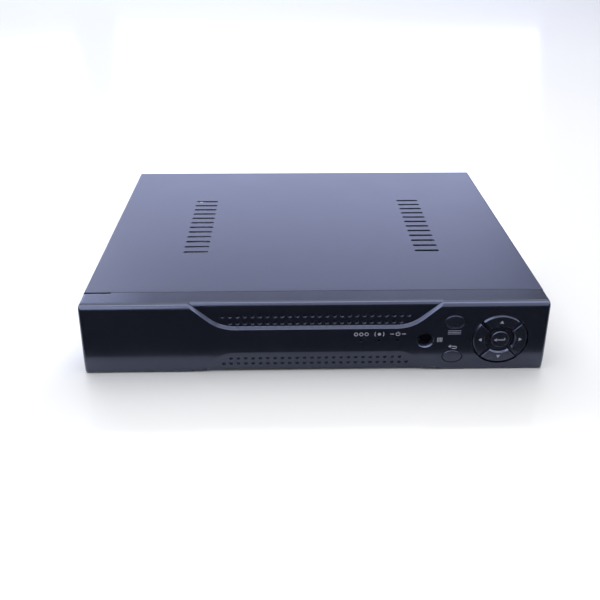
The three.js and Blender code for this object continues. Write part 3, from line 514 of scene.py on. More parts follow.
def make_bezel():
    floor = FACE + RECESS_DEPTH
    behind_recess = swoosh(RECESS_CORNER + 2, RECESS_BOTTOM - 1, RECESS_SLOPE, 30)
    behind_dish = circle(RING_X, CONTROL_Z, RING_RADIUS + 2)
    hollow = carve(
        "bezel_hollow",
        [prism(bezel_section(WALL, SEAM + 9), WALL - HALF, HALF - WALL, "X")],
        cuts=[
            [prism(behind_recess, FACE - 1, floor + WALL)],
            [prism(behind_dish, FACE - 1, FACE + DISH_DEPTH + WALL)],
        ],
    )
    recess = stack(
        swoosh(RECESS_CORNER, RECESS_BOTTOM, RECESS_SLOPE, 34),
        [(FACE - 3, -0.12), (FACE, -0.12), (FACE + 0.05, -0.04), (FACE + 0.18, 0.06),
         (floor - 0.15, RECESS_LEDGE - 0.1), (floor, RECESS_LEDGE + 0.08)],
    )

    def inner(z):
        """Half the width of the recess's floor at a height."""
        ledge = (RECESS_LEDGE + 0.08) * hypot(1, RECESS_SLOPE)
        return RECESS_CORNER + (z - RECESS_BOTTOM - ledge) / RECESS_SLOPE

    lip = 3.2  # radius of the recess's upper lip
    above = TOP + 1
    rim = []
    for y, z in [(floor - 0.4, TOP - lip), *arc(floor + lip, TOP - lip, lip, 180, 90, ARC)]:
        low, high = inner(z), inner(above)
        rim.append([(-low, y, z), (low, y, z), (high, y, above), (-high, y, above)])
    patch_outline = swoosh(PATCH_CORNER, PATCH_TOP, -PATCH_SLOPE, 20)
    patch = loft([
        [(x, FACE - 2, z) for x, z in inset_by(patch_outline, -0.12)],
        [(x, FACE + 0.02, z) for x, z in inset_by(patch_outline, -0.12)],
        [(x, FACE + patch_depth(z), z) for x, z in inset_by(patch_outline, 0.1)],
    ])
    notch_top = SKIRT + 1.0
    notch = prism(
        [(-NOTCH - 3, SKIRT - 3), (NOTCH + 3, SKIRT - 3), (NOTCH, SKIRT), (NOTCH - 1.4, notch_top),
         (1.4 - NOTCH, notch_top), (-NOTCH, SKIRT)],
        FACE - 2, SEAM + 2,
    )
    dimple = [(0, -1), (1.65, -1), (1.65, -0.02), (1.59, 0.05), (1.43, 0.6), (1.3, 0.7), (0, 0.72)]
    upper = [
        turned(dimple, (x, floor, z), sides=24)
        for x, z in dot_rows([(SKIRT + 40.3, 26), (SKIRT + 35.3, 24)])
    ]
    pit = [(0, -1), (1.25, -1), (1.25, -0.02), (1.12, 0.12), (1.0, 1.1), (0, 1.1)]
    lower = [
        turned(pit, (x, FACE + patch_depth(z), z), sides=20)
        for x, z in dot_rows([(SKIRT + 9.5, 24), (SKIRT + 5.25, 26)])
    ]
    dish = stack(
        circle(RING_X, CONTROL_Z, RING_RADIUS, 96),
        [(FACE - 2, -0.3), *crown(FACE, 0.3, -1), (FACE + DISH_DEPTH, 0)],
    )
    windows = []
    for turns in range(4):
        outline = sector(turns, KEY_INNER, RING_RADIUS - 0.02, 0)
        windows.append(prism(outline, FACE + 1, SEAM))
    windows.append(prism(circle(RING_X, CONTROL_Z, ENTER_RADIUS + CLEARANCE), FACE, SEAM))
    width, height = (size + 2 * CLEARANCE for size in OVAL_SIZE)
    stations = [(FACE - 2, -0.25), *crown(FACE, 0.25, -1), (FACE + 8, 0)]
    mouths = [stack(oval(OVAL_X, z, width, height), stations) for z in OVAL_Z.values()]
    wide = RECEIVER_RADIUS + 0.05
    countersink = turned(
        [(0, -1), (wide, -1), (wide, 0), (wide - 0.1, 0.1),
         (4.9, 1.0), (4.75, 2.0), (4.0, 2.05), (4.0, 9), (0, 9)],
        (RECEIVER_X, FACE, CONTROL_Z), sides=64,
    )
    pinhole = [(0, -1), (0.95, -1), (0.95, 0), (0.9, 0.06), (0.9, 8), (0, 8)]
    pinholes = [turned(pinhole, (x, FACE, CONTROL_Z), sides=24) for x in LED_X.values()]
    nick = box((-HALF - 1, 18 - HALF), (SEAM - 1.7, SEAM + 1), (TOP - 1.4, TOP + 1))
    rebate = box((-HALF - 1, HALF + 1), (SEAM - 0.45, SEAM + 1), (TOP - 1.1, TOP + 1))
    behind = box((-2 * HALF, 2 * HALF), (SEAM, SEAM + 40), (-TOP, 2 * TOP))
    below = box((-2 * HALF, 2 * HALF), (2 * FACE, SEAM + 60), (-TOP, SKIRT))
    lug_top = TOP - SHEET - GAP
    lugs = [
        box((x - 9, x + 9), (SEAM - 4, SEAM + 6), (lug_top - 1.6, lug_top)) for x in (-115, 0, 115)
    ]
    mesh = carve(
        "front_bezel_moulding",
        [bezel_blank()],
        cuts=[
            [behind], [below], hollow, [recess], [loft(rim)], [patch], [notch],
            upper, lower, [dish], windows, [*mouths, countersink, *pinholes], [nick], [rebate],
        ],
        adds=[lugs],
    )
    show("front_bezel_moulding", mesh, PLASTIC, "bezel", ["front_bezel"], angle=32, weighted=True)


# ---- keys and their marks
LIP_AT = FACE + DISH_DEPTH + WALL + GAP  # front of the lip that keeps a key in


def round_cap(outline, edge):
    return stack(outline, [*crown(FACE - KEY_PROUD, edge), (LIP_AT + 0.3, 0)])


def sector_cap(turns, edge=1.15):
    """A quarter of the ring, chamfered wide on its arcs and narrow on its sides."""
    face = FACE - KEY_PROUD
    rings = []
    for y, inset, side in (
        (face, edge + 0.15, 0.22), (face + 0.06, edge, 0.14), (face + 0.2, edge - 0.12, 0.03),
        (face + edge - 0.08, 0.08, 0), (face + edge + 0.1, 0, 0), (LIP_AT + 0.3, 0, 0),
    ):
        inner = KEY_INNER + CLEARANCE + inset * 0.8
        outline = sector(turns, inner, RING_RADIUS - CLEARANCE - inset, CLEARANCE + side)
        rings.append([(x, y, z) for x, z in outline])
    return loft(rings)


def make_key(name, cap, lip, stem, lean=0.0):
    """A key's cap, its lip behind the bezel and its stem. lean tips the cap back at the bottom."""
    points, faces = cap
    points = [(x, y + lean * max(0, SKIRT + CURL_HEIGHT + 1 - z), z) for x, y, z in points]
    lip = prism(lip, LIP_AT + 0.1, LIP_AT + 0.9)
    stem = rod(1.8, STEM_END - LIP_AT, (stem[0], LIP_AT, stem[1]))
    parts = [(points, faces), lip, stem]
    show(name + "_cap", parts, KEYCAP, "keys", [name], name, angle=30, weighted=True)


MARK_DEPTH = 0.03


def mark(name, outlines, face=FACE, body=BODY):
    """Flat printed shapes that stand a hair out of a surface."""
    parts = [prism(outline, face - MARK_DEPTH, face + 0.02) for outline in outlines]
    show(name, parts, PRINT, body=body)


def band(cx, cz, radius, width, start, end, steps=24):
    """A curved stroke."""
    return arc(cx, cz, radius + width / 2, start, end, steps) + arc(
        cx, cz, radius - width / 2, end, start, steps
    )


def stroke(x0, z0, x1, z1, width):
    along = Vector((x1 - x0, z1 - z0)).normalized()
    side = Vector((-along.y, along.x)) * width / 2
    return [
        (x0 + side.x, z0 + side.y), (x0 - side.x, z0 - side.y),
        (x1 - side.x, z1 - side.y), (x1 + side.x, z1 + side.y),
    ]


def make_keys():
    width, height = OVAL_SIZE
    for name, z in OVAL_Z.items():
        lip = oval(OVAL_X, z, width + 2, height + 1.6)
        if name == "escape":
            lip = [(x, max(SKIRT + WALL + GAP + 1.4, z_)) for x, z_ in lip]
        lean = 0.042 if name == "escape" else 0
        cap = round_cap(oval(OVAL_X, z, width, height), 0.7)
        make_key(name + "_key", cap, lip, (OVAL_X, z), lean)
    stem_radius = 13.5
    for turns, name in enumerate(("up_key", "right_key", "down_key", "left_key")):
        angle = radians(90 - 90 * turns)
        outward = (cos(angle), sin(angle))
        outer = RING_RADIUS + (0.7 if name != "down_key" else -1.6)
        lip = sector(turns, stem_radius - 3, outer, SPOKE_HALF)
        stem = (RING_X + stem_radius * outward[0], CONTROL_Z + stem_radius * outward[1])
        lean = 0.048 if name == "down_key" else 0
        make_key(name, sector_cap(turns), lip, stem, lean)
        tip = Vector(outward)
        across = Vector((-tip.y, tip.x))
        middle = Vector((RING_X, CONTROL_Z)) + tip * 13.1
        foot = middle - tip * 1.05
        triangle = [middle + tip * 1.1, foot + across * 1.3, foot - across * 1.3]
        mark(name + "_mark", [triangle], FACE - KEY_PROUD + lean * 3.4, name)
    hub = round_cap(circle(RING_X, CONTROL_Z, ENTER_RADIUS, 64), 0.8)
    make_key("enter_key", hub, circle(RING_X, CONTROL_Z, ENTER_RADIUS + 0.9), (RING_X, CONTROL_Z))
    x, z = RING_X, CONTROL_Z
    arrow = [
        stroke(x - 2.6, z - 0.3, x + 3.2, z - 0.3, 0.6),
        stroke(x + 2.9, z - 0.3, x + 2.9, z + 1.3, 0.6),
        [(x - 3.9, z - 0.3), (x - 2.1, z - 1.5), (x - 2.1, z + 0.9)],
    ]
    mark("enter_key_mark", arrow, FACE - KEY_PROUD, "enter_key")


def make_marks():
    z = SKIRT + 27.4
    x = LED_X["spare"]
    rings = []
    for centre in (x - 3.4, x, x + 3.4):
        rings += [band(centre, z, 1.1, 0.5, 0, 180), band(centre, z, 1.1, 0.5, 180, 360)]
    mark("spare_mark", rings)
    x = LED_X["record"]
    brackets = [band(x, z, 2.9, 0.55, start, start + 64, 10) for start in (-32, 148)]
    mark("record_mark", [circle(x, z, 1.1, 24), *brackets])
    x = LED_X["power"]
    mark("power_mark", [
        band(x, z, 1.25, 0.5, 125, 415), stroke(x, z + 0.2, x, z + 1.8, 0.5),
        stroke(x - 5, z, x - 2.6, z, 0.55), stroke(x + 2.6, z, x + 5, z, 0.55),
    ])
    x, z = OVAL_X + 0.2, SKIRT + 28.2
    mark("menu_mark", [stroke(x - 4.2, z + dz, x + 4.2, z + dz, 0.36) for dz in (-1.2, 0, 1.2)])
    x, z = OVAL_X, SKIRT + 17.3
    mark("escape_mark", [
        [(x - 3.2, z + 0.3), (x - 1.4, z - 1.0), (x - 1.4, z + 1.6)],
        stroke(x - 1.6, z + 0.3, x + 1.6, z + 0.3, 0.55),
        band(x + 1.6, z - 0.5, 0.8, 0.55, -90, 90, 10),
        stroke(x + 1.7, z - 1.3, x - 0.6, z - 1.3, 0.55),
    ])
    x, z = RECEIVER_X + 9.3, SKIRT + 22.7
    places = (x - 1.4, x - 0.47, x + 0.47, x + 1.4)
    bars = [rectangle(at - 0.28, at + 0.28, z - 1.7, z + 1.7) for at in places]
    mark("receiver_mark", bars)


def make_indicators():
    lens = [(0, 2.75), (0.8, 2.75), (0.9, 2.45), (2.5, 2.4), (2.6, 2.6), (2.9, 2.6), (3.0, 2.4)]
    lens += [(3.45, 2.42), (3.6, 2.55), (3.6, 3.6), (0, 3.6)]
    window = turned(lens, (RECEIVER_X, FACE, CONTROL_Z), sides=48)
    show("receiver_window_lens", [window], SMOKE, "smoked_lens", ["receiver_window"], angle=60)
    tip = [(0, 0.9), (0.3, 0.94), (0.52, 1.1), (0.6, 1.35), (0.6, 3), (1.5, 3.4)]
    tip += [(1.5, 9.4), (1.9, 9.6), (1.9, 10.7), (0, 10.7)]
    for name, x in LED_X.items():
        lamp = turned(tip, (x, FACE, CONTROL_Z), sides=20)
        show(name + "_led_lens", [lamp], LENS, "led_lens", [name + "_led"], angle=50)


# ---- cover
def make_cover():
    bend = 1.6
    inner = HALF - SHEET
    outline = [(-HALF, BASE), (-inner, BASE)]
    outline += arc(-inner + bend - 1, TOP - SHEET - bend + 1, bend - 1, 180, 90, 4)
    outline += arc(inner - bend + 1, TOP - SHEET - bend + 1, bend - 1, 90, 0, 4)
    outline += [(inner, BASE), (HALF, BASE)]
    outline += arc(HALF - bend, TOP - bend, bend, 0, 90, ARC)
    outline += arc(bend - HALF, TOP - bend, bend, 90, 180, ARC)
    folded = stack(outline, [*crown(COVER_FRONT, 0.2, 1, 4), (BACK - 0.1, 0), (BACK, 0.1)])
    lip = box((-inner - 0.1, inner + 0.1), (BACK - SHEET, BACK - 0.02), (45.4, TOP - SHEET / 2))
    louvres = []
    sides = []
    for side in (-1, 1):
        for i in range(12):
            y = FACE + 72.5 + i * VENT_PITCH
            hole = rounded(*about(side * VENT_X, 17.5), y - 1.3, y + 1.3, 1.1, 6)
            stations = [(TOP - 3, 0), (TOP - 0.25, 0), (TOP, -0.22), (TOP + 1, -0.22)]
            louvres.append(stack(hole, stations, "Z"))
        for i in range(9):
            y = 20 + i * VENT_PITCH
            hole = rounded(y - 1.3, y + 1.3, 18, 36, 1.25, 6)
            ends = [(HALF - 3, 0), (HALF - 0.2, 0), (HALF, -0.2), (HALF + 1, -0.2)]
            sides.append(stack(hole, [(side * at, inset) for at, inset in ends], "X"))
        for y in SIDE_SCREWS_Y:
            dimple = [(0, -0.1), (3.55, -0.1), (3.4, 0.05), (1.9, SHEET + 0.1), (0, SHEET + 0.1)]
            sides.append(turned(dimple, (side * HALF, y, SIDE_SCREW_Z), (-side, 0, 0), 40))
        sides.append(rod(1.8, 4, (side * REAR_SCREW_X, BACK - 3, REAR_SCREW_Z)))
    edge = 0.45
    front_edge = [(COVER_FRONT - 0.2, TOP + 0.2), (COVER_FRONT - 0.2, TOP - edge)]
    front_edge += arc(COVER_FRONT + edge, TOP - edge, edge, 180, 90, 6)
    front_edge.append((COVER_FRONT + edge, TOP + 0.2))
    sides.append(prism(front_edge, 1 - HALF, HALF - 1, "X"))
    mesh = carve("top_cover_shell", [folded], adds=[[lip]])
    mesh = carve("top_cover_shell", mesh, cuts=[louvres, sides])
    show("top_cover_shell", mesh, PAINT, "painted_case", ["top_cover"], angle=35, weighted=True)


# ---- rear sockets
INSIDE = PANEL - SHEET - GAP  # where the sockets' housings and the fan end, behind the rear panel
MOUTH = PANEL + 1.0  # outer end of the data sockets
BOARD_TOP = 12.2  # the sockets' housings stand at this height
ROWS = (20.5, 36.5)
COLUMNS = (131, 114, 97)
AUDIO_X, AUDIO_ROWS, AUDIO_PITCH = 76, (19.5, 32.5), 13
MONITOR_X, MONITOR_Z = 44, BOARD_TOP + 6.25
FAN_X, FAN_Z, FAN_SIZE, FAN_BORE, FAN_HUB = -112, 27.5, 40, 19, 10.5
FAN_FRONT = INSIDE - 10.5
FAN_SCREWS = [(FAN_X + a * 16, FAN_Z + b * 16) for a in (-1, 1) for b in (-1, 1)]
HDMI = (16.5, 15, 6)  # x, width and height of a data socket
USB = (-1, 14, 16)
NETWORK = (-19, 16, 14)
POWER = (-33.5, 9, 11)


def housing(name, x, width, zs, edge, stands_for=()):
    """The block that a socket is moulded in, behind the rear panel."""
    block = box(about(x, width), (INSIDE - 12, INSIDE - 0.1), zs, edge)
    show(name, [block], SOCKET_BLACK, "socket_plastic", stands_for, angle=50)


def make_video_socket(node, x, z):
    reach = TIP - INSIDE
    profile = [(0, -0.05), (6.1, -0.05), (6.1, 3.2), (5.9, 3.35), (4.9, 3.35)]
    for i in range(7):
        profile += [(4.85, 3.6 + 0.55 * i), (4.6, 3.875 + 0.55 * i)]
    profile += [(4.8, 7.6), (4.8, reach - 0.35), (4.6, reach), (4.3, reach), (4.1, reach - 0.25)]
    profile += [(4.1, reach - 9), (0, reach - 9)]
    lugs = [rod(1, 1.4, (x, TIP - 4.5, z + side * 4.4), (0, 0, side), 20, 0.15) for side in (-1, 1)]
    barrel = turned(profile, (x, INSIDE, z), sides=48)
    show(node + "_barrel", [barrel, *lugs], NICKEL, "nickel", [node], angle=40)
    nut = stack(
        circle(x, z, 7.5, 6),
        [(PANEL + 0.12, 0.3), (PANEL + 0.35, 0), (PANEL + 1.5, 0), (PANEL + 1.85, 0.35)],
    )
    show(node + "_nut", [nut], NICKEL, "nickel")
    insulator = [(0, -9.1), (1.75, -9.1), (1.75, -3.2), (1.55, -3)]
    insulator += [(0.75, -3), (0.7, -4.5), (0, -4.5)]
    insulator = turned(insulator, (x, TIP, z), sides=32)
    show(node + "_insulator", [insulator], WHITE_PLASTIC, "nickel")
    contact = [(0, -4.6), (0.55, -4.6), (0.55, -3.3), (0.4, -3.2), (0, -3.2)]
    show(node + "_contact", [turned(contact, (x, TIP, z), sides=20)], GOLD, "nickel")
    housing(node + "_housing", x, 14.4, about(z, 14.4), 0.5)


def phono(name, x, z, colour):
    """The metal barrel of a phono socket and the coloured insert in it."""
    barrel = [(0, -0.05), (4.9, -0.05), (4.9, 2.3), (4.7, 2.5), (4.1, 2.5), (4.1, 10.5)]
    barrel += [(3.9, 10.85), (3.6, 10.85), (3.45, 10.6), (3.45, 4), (0, 4)]
    insert = [(0, 3.9), (3.42, 3.9), (3.42, 8.8), (3.25, 9)]
    insert += [(1.75, 9), (1.6, 8.8), (1.6, 5), (0, 5)]
    flange = [(0, 1.35), (5.25, 1.35), (5.25, 2.2), (5.0, 2.45), (0, 2.45)]
    show(name + "_flange", [turned(flange, (x, INSIDE, z))], colour, "socket_plastic")
    show(name + "_insert", [turned(insert, (x, INSIDE, z))], colour, "socket_plastic")
    return turned(barrel, (x, INSIDE, z), sides=48)


def make_audio_sockets():
    x, z = COLUMNS[2], ROWS[0]
    barrel = phono("audio_out", x, z, WHITE_PLASTIC)
    block = box(about(x, 12), (INSIDE - 12, INSIDE - 0.1), about(z, 12), 0.4)
    show("audio_out_barrel", [barrel, block], NICKEL, "nickel", ["audio_out_socket"], angle=40)
    barrels = []
    for row, z in enumerate(AUDIO_ROWS):
        for side in (-1, 1):
            colour = RED_PLASTIC if row else WHITE_PLASTIC
            name = "audio_in_%s_%s" % (("lower", "upper")[row], "left" if side < 0 else "right")
            barrels.append(phono(name, AUDIO_X + side * AUDIO_PITCH / 2, z, colour))
    show("audio_in_barrels", barrels, NICKEL, "nickel", angle=40)
    housing("audio_in_housing", AUDIO_X, 25.6, (BOARD_TOP, 39), 0.5, ["audio_in_sockets"])


def make_monitor_socket():
    x, z = MONITOR_X, MONITOR_Z
    corners = [(x - 8.4, z + 4), (x - 7, z - 4), (x + 7, z - 4), (x + 8.4, z + 4)]
    outline = soft_corners(corners, 1.6)
    inner = inset_by(outline, 0.45)
    shell = carve(
        "monitor_shell",
        [stack(outline, [(INSIDE - 0.1, 0), (INSIDE + 7.8, 0), (INSIDE + 8, 0.15)])],
        cuts=[[stack(inner, [(INSIDE + 1, 0), (INSIDE + 7.9, 0), (INSIDE + 8.1, -0.1)])]],
    )
    show("monitor_shell", shell, NICKEL, "bare_steel", ["monitor_socket"], angle=40)
    holes = []
    for row in range(3):
        for i in range(5):
            spot = (x + (i - 2) * 2.3 + (row - 1) * 1.15, INSIDE + 6.6, z + (1 - row) * 2.0)
            holes.append(rod(0.5, 2, spot, sides=14))
    stations = [(INSIDE, 0), (INSIDE + 7.1, 0), (INSIDE + 7.4, 0.25)]
    block = carve("monitor_insert", [stack(inset_by(outline, 0.75), stations)], cuts=[holes])
    show("monitor_insert", block, BLUE_PLASTIC, "socket_plastic", angle=40)
    nut = [(0, -0.05), (2.4, -0.05), (2.4, 6.6), (2.1, 6.9)]
    nut += [(1.2, 6.9), (1.1, 6.6), (1.1, 2), (0, 2)]
    nuts = [turned(nut, (x + side * 12.5, INSIDE, z), sides=6) for side in (-1, 1)]
    show("monitor_nuts", nuts, ZINC, "bare_steel", angle=25)
    plate = box(about(x, 29.4), (INSIDE - 0.05, INSIDE + 0.7), about(z, 8.6), 0.2)
    show("monitor_plate", [plate], ZINC, "bare_steel", angle=50)
    housing("monitor_housing", x, 31, about(z, 12.5), 0.4)


def contacts(name, x, width, count, ys, zs):
    """A row of gold contacts across a width."""
    pitch = width / count
    middles = [x + (i - (count - 1) / 2) * pitch for i in range(count)]
    show(name, [box(about(at, pitch / 2), ys, zs, 0.025) for at in middles], GOLD, "nickel")


def data_socket(name, node, socket, depth, mouths, material=ZINC, slot="bare_steel"):
    x, width, height = socket
    body = box(about(x, width), (MOUTH - depth, MOUTH), (BOARD_TOP, BOARD_TOP + height), 0.35)
    mesh = carve(name, [body], cuts=[mouths])
    show(name, mesh, material, slot, [node], angle=40)


def mouth(outline, depth, edge):
    """A hole in a data socket, with a bevelled rim."""
    inner = [(MOUTH - depth, 0), (MOUTH - 0.05 - edge, 0)]
    return stack(outline, [*inner, (MOUTH, -edge), (MOUTH + 1, -edge)])


def make_hdmi_socket():
    x, z = HDMI[0], BOARD_TOP
    half = [(6.8, 5.3), (6.8, 2.4), (5.0, 0.7)]
    corners = [(x - dx, z + dz) for dx, dz in half] + [(x + dx, z + dz) for dx, dz in half[::-1]]
    hole = mouth(soft_corners(corners, 0.5, 2), 9, 0.15)
    data_socket("hdmi_shell", "hdmi_socket", HDMI, 12, [hole])
    tongue = box(about(x, 11), (MOUTH - 9.5, MOUTH - 1), (z + 2.5, z + 3.7), 0.2)
    show("hdmi_tongue", [tongue], SOCKET_BLACK, "socket_plastic")
    contacts("hdmi_contacts", x, 10, 10, (MOUTH - 8, MOUTH - 1.6), (z + 3.66, z + 3.8))


def make_usb_sockets():
    x = USB[0]
    mouths = []
    tongues = []
    for row in (0, 1):
        low = BOARD_TOP + 1.2 + row * 7.8
        mouths.append(mouth(rounded(x - 6.3, x + 6.3, low, low + 5.8, 0.5, 3), 11, 0.25))
        tongues.append(box(about(x, 11), (MOUTH - 11.5, MOUTH - 1), (low + 3.4, low + 5.2), 0.25))
        reach = (MOUTH - 9, MOUTH - 1.8)
        contacts("usb_contacts_%d" % (row + 1), x, 8.4, 4, reach, (low + 3.25, low + 3.42))
    data_socket("usb_shell", "usb_sockets", USB, 16, mouths)
    show("usb_tongues", tongues, WHITE_PLASTIC, "socket_plastic")


def make_network_socket():
    x, z = NETWORK[0], BOARD_TOP
    port = rectangle(x - 5.95, x + 5.95, z + 2.6, z + 11)
    latch = rectangle(x - 2.5, x + 2.5, z + 1, z + 3)
    lamps = (-5.6, 5.6)
    cutters = [prism(port, MOUTH - 12, MOUTH + 1), prism(latch, MOUTH - 11.9, MOUTH + 1.1)]
    for dx in lamps:
        cutters.append(box(about(x + dx, 3), (MOUTH - 1, MOUTH + 1), (z + 11.6, z + 13.2)))
    data_socket("network_shell", "network_socket", NETWORK, 20, cutters)
    block = box(about(x, 14.6), (MOUTH - 12.6, MOUTH - 0.25), (z + 0.5, z + 13.4))
    cutters = [prism(inset_by(port, 0.35), MOUTH - 12, MOUTH + 1)]
    cutters.append(prism(latch, MOUTH - 11.8, MOUTH + 1))
    liner = carve("network_liner", [block], cuts=[cutters])
    show("network_liner", liner, SOCKET_BLACK, "socket_plastic", angle=40)
    wires = []
    for i in range(8):
        left, right = about(x + (i - 3.5) * 1.02, 0.42)
        ends = []
        for y, low in ((MOUTH - 11.9, z + 5), (MOUTH - 3, z + 10.2)):
            ends.append([(left, y, low), (right, y, low), (right, y, low + 0.4), (left, y, low + 0.4)])
        wires.append(loft(ends))
    show("network_contacts", wires, GOLD, "nickel")
    for dx, word, colour in ((lamps[0], "left", GREEN_LENS), (lamps[1], "right", AMBER_LENS)):
        lamp = box(about(x + dx, 2.9), (MOUTH - 0.9, MOUTH - 0.1), (z + 11.65, z + 13.15), 0.15)
        show("network_lamp_" + word, [lamp], colour, "led_lens")


def make_power_socket():
    x, z = POWER[0], BOARD_TOP + POWER[2] / 2
    bore = [(0, -12), (3, -12), (3, -0.4), (3.4, 0), (3.4, 1), (0, 1)]
    bore = turned(bore, (x, MOUTH, z))
    data_socket("power_housing", "power_socket", POWER, 14, [bore], SOCKET_BLACK, "socket_plastic")
    pin = [(0, -12.2), (1, -12.2), (1, -2.8), (0.8, -2.3), (0.4, -2.05), (0, -2)]
    show("power_pin", [turned(pin, (x, MOUTH, z), sides=28)], NICKEL, "nickel", angle=50)
    sleeve = rod(2.99, 7, (x, MOUTH - 8.5, z), sides=40)
    sleeve = carve("power_sleeve", [sleeve], cuts=[[rod(2.7, 9, (x, MOUTH - 8, z), sides=40)]])
    show("power_sleeve", sleeve, NICKEL, "nickel")


def make_rear_panel():
    half = HALF - SHEET - GAP
    front = PANEL - SHEET
    bottom = BASE + SHEET + GAP
    plate = box((-half, half), (front, PANEL), (bottom, TOP - SHEET - GAP), 0.08)
    flange = box((2 - half, half - 2), (PANEL - 8, front + 0.1), (bottom, bottom + SHEET), 0.08)
    bores = [(x, z, 6.5) for x in COLUMNS for z in ROWS if (x, z) != (COLUMNS[2], ROWS[0])]
    bores.append((COLUMNS[2], ROWS[0], 5.4))
    bores += [(side * REAR_SCREW_X, REAR_SCREW_Z, 1.7) for side in (-1, 1)]
    bores += [(AUDIO_X + side * AUDIO_PITCH / 2, z, 5.4) for side in (-1, 1) for z in AUDIO_ROWS]
    bores += [(x, z, 2) for x, z in FAN_SCREWS]
    cutters = [rod(radius, 3, (x, front - 1, z), sides=48) for x, z, radius in bores]
    openings = [(MONITOR_X, 29.4, 8.4, MONITOR_Z - 4.5)]
    openings += [(*socket, BOARD_TOP) for socket in (HDMI, USB, NETWORK, POWER)]
    for x, width, height, low in openings:
        window = rounded(*about(x, width + 2 * GAP), low - GAP, low + height + GAP, 0.6, 3)
        cutters.append(prism(window, front - 1, PANEL + 1))
    for radius in (8, 12.5, 17):
        for start in (56.5, 146.5, 236.5, 326.5):
            slot = band(FAN_X, FAN_Z, radius, 3, start, start + 67, 16)
            cutters.append(prism(slot, front - 1, PANEL + 1))
    mesh = carve("rear_panel_sheet", [plate], cuts=[cutters], adds=[[flange]])
    show("rear_panel_sheet", mesh, PAINT, "painted_case", ["rear_panel"], angle=35)


# ---- screws, feet and fan
PAN_DOME = [(0, 0), (1.1, 0.03), (2.0, 0.22), (2.7, 0.65), (3, 1.2), (3, 1.6)]
PAN_HEAD = [*PAN_DOME, (2.9, 1.7), (1.4, 1.7)]


def cross_screw(name, profile, origin, direction, look=(ZINC, "bare_steel"), face=0.0, own=True):
    """A screw with a cross recess in its head. own: the CAD has a node of its name."""
    arms = [
        box((-0.42, 0.42), (-1, face + 1.0), (-1.6, 1.6)),
        box((-1.6, 1.6), (-1, face + 0.95), (-0.42, 0.42)),
        box((-0.8, 0.8), (-1, face + 0.7), (-0.8, 0.8)),
    ]
    mesh = carve(
        name + "_body", [turned(profile, origin, direction, 36)],
        cuts=[[placed(arm, origin, direction)] for arm in arms],
    )
    show(name + "_body", mesh, *look, [name] if own else [], angle=40)


def make_screws():
    profile = [(0, 0.1), (2.9, 0.1), (3.1, 0.22), (1.4, SHEET + 0.2), (1.4, 5), (0, 5)]
    for side, word in ((-1, "left"), (1, "right")):
        for i, y in enumerate(SIDE_SCREWS_Y, 1):
            origin = (side * HALF, y, SIDE_SCREW_Z)
            cross_screw("cover_screw_%s_%d" % (word, i), profile, origin, (-side, 0, 0), face=0.1)
    profile = [*PAN_HEAD, (1.4, 5.2), (0, 5.2)]
    for i, side in enumerate((-1, 1), 1):
        origin = (side * REAR_SCREW_X, BACK + GAP + 1.7, REAR_SCREW_Z)
        cross_screw("cover_screw_rear_%d" % i, profile, origin, (0, -1, 0))
    profile = [*PAN_HEAD, (1.4, 11), (0, 11)]
    spots = [(x, y, BASE - GAP - 1.7) for x in (-139.8, -44.6) for y in (-78.8, 22.8)]
    for i, origin in enumerate(spots, 1):
        cross_screw("drive_screw_%d" % i, profile, origin, (0, 0, 1), (NICKEL, "nickel"))
    profile = [*PAN_DOME, (3, 1.65), (1.5, 1.7), (1.5, 6), (0, 6)]
    for i, (x, z) in enumerate(FAN_SCREWS, 1):
        cross_screw("fan_screw_%d" % i, profile, (x, PANEL + 1.75, z), (0, -1, 0), own=False)


def make_feet():
    profile = [(0, 0.7), (3.9, 0.7), (4.2, 0.5), (4.4, 0.05), (4.55, 0), (6.8, 0), (7.3, 0.2)]
    profile += [(7.6, 0.7), (8.1, 1.6), (8.5, 2.7), (8.5, 3.1), (8.4, 3.2), (0, 3.2)]
    for row, y in (("front", -84), ("rear", 84)):
        for side, x in (("left", -126), ("right", 126)):
            node = "foot_%s_%s" % (row, side)
            pad = turned(profile, (x, y, 0), (0, 0, 1), 48)
            show(node + "_pad", [pad], RUBBER, "rubber_feet", [node], angle=40)


def make_fan():
    square = rounded(*about(FAN_X, FAN_SIZE), *about(FAN_Z, FAN_SIZE), 3, 6)
    front = FAN_FRONT - 1
    bores = [rod(FAN_BORE, 14, (FAN_X, front, FAN_Z), sides=64)]
    bores += [rod(1.7, 14, (x, front, z)) for x, z in FAN_SCREWS]
    back = INSIDE - 1.8
    struts = [rod(FAN_HUB, 1.8, (FAN_X, back, FAN_Z), sides=48, edge=0.3)]
    for angle in (0, 120, 240):
        turn = Matrix.Rotation(radians(angle), 3, "Y")
        points, faces = box((-1.2, 1.2), (0, 1.8), (0, FAN_BORE + 0.5), 0.3)
        struts.append(([turn @ Vector(p) + Vector((FAN_X, back, FAN_Z)) for p in points], faces))
    stations = [(FAN_FRONT, 0.4), (FAN_FRONT + 0.4, 0), (INSIDE - 0.4, 0), (INSIDE, 0.4)]
    frame_block = stack(square, stations)
    mesh = carve("fan_housing", [frame_block], cuts=[bores], adds=[[strut] for strut in struts])
    show("fan_housing", mesh, FAN_BLACK, "fan_plastic", ["fan_frame"], angle=40)
    cup = [(0, 0.3), (3, 0.3), (3.2, 0), (9.6, 0), (10.2, 0.25)]
    cup += [(FAN_HUB, 0.9), (FAN_HUB, 7.5), (0, 7.5)]
    parts = [turned(cup, (FAN_X, FAN_FRONT + 0.6, FAN_Z), sides=56)]
    parts += [fan_blade(2 * pi * i / 7) for i in range(7)]
    show("fan_blades", parts, FAN_BLACK, "fan_plastic", ["fan_rotor"], "fan_rotor", angle=40)


BLADE_SECTION = [
    (-3.4, 0), (-2.2, 0.4), (0, 0.55), (2.2, 0.4), (3.4, 0), (2.2, -0.35), (0, -0.45), (-2.2, -0.35),
]


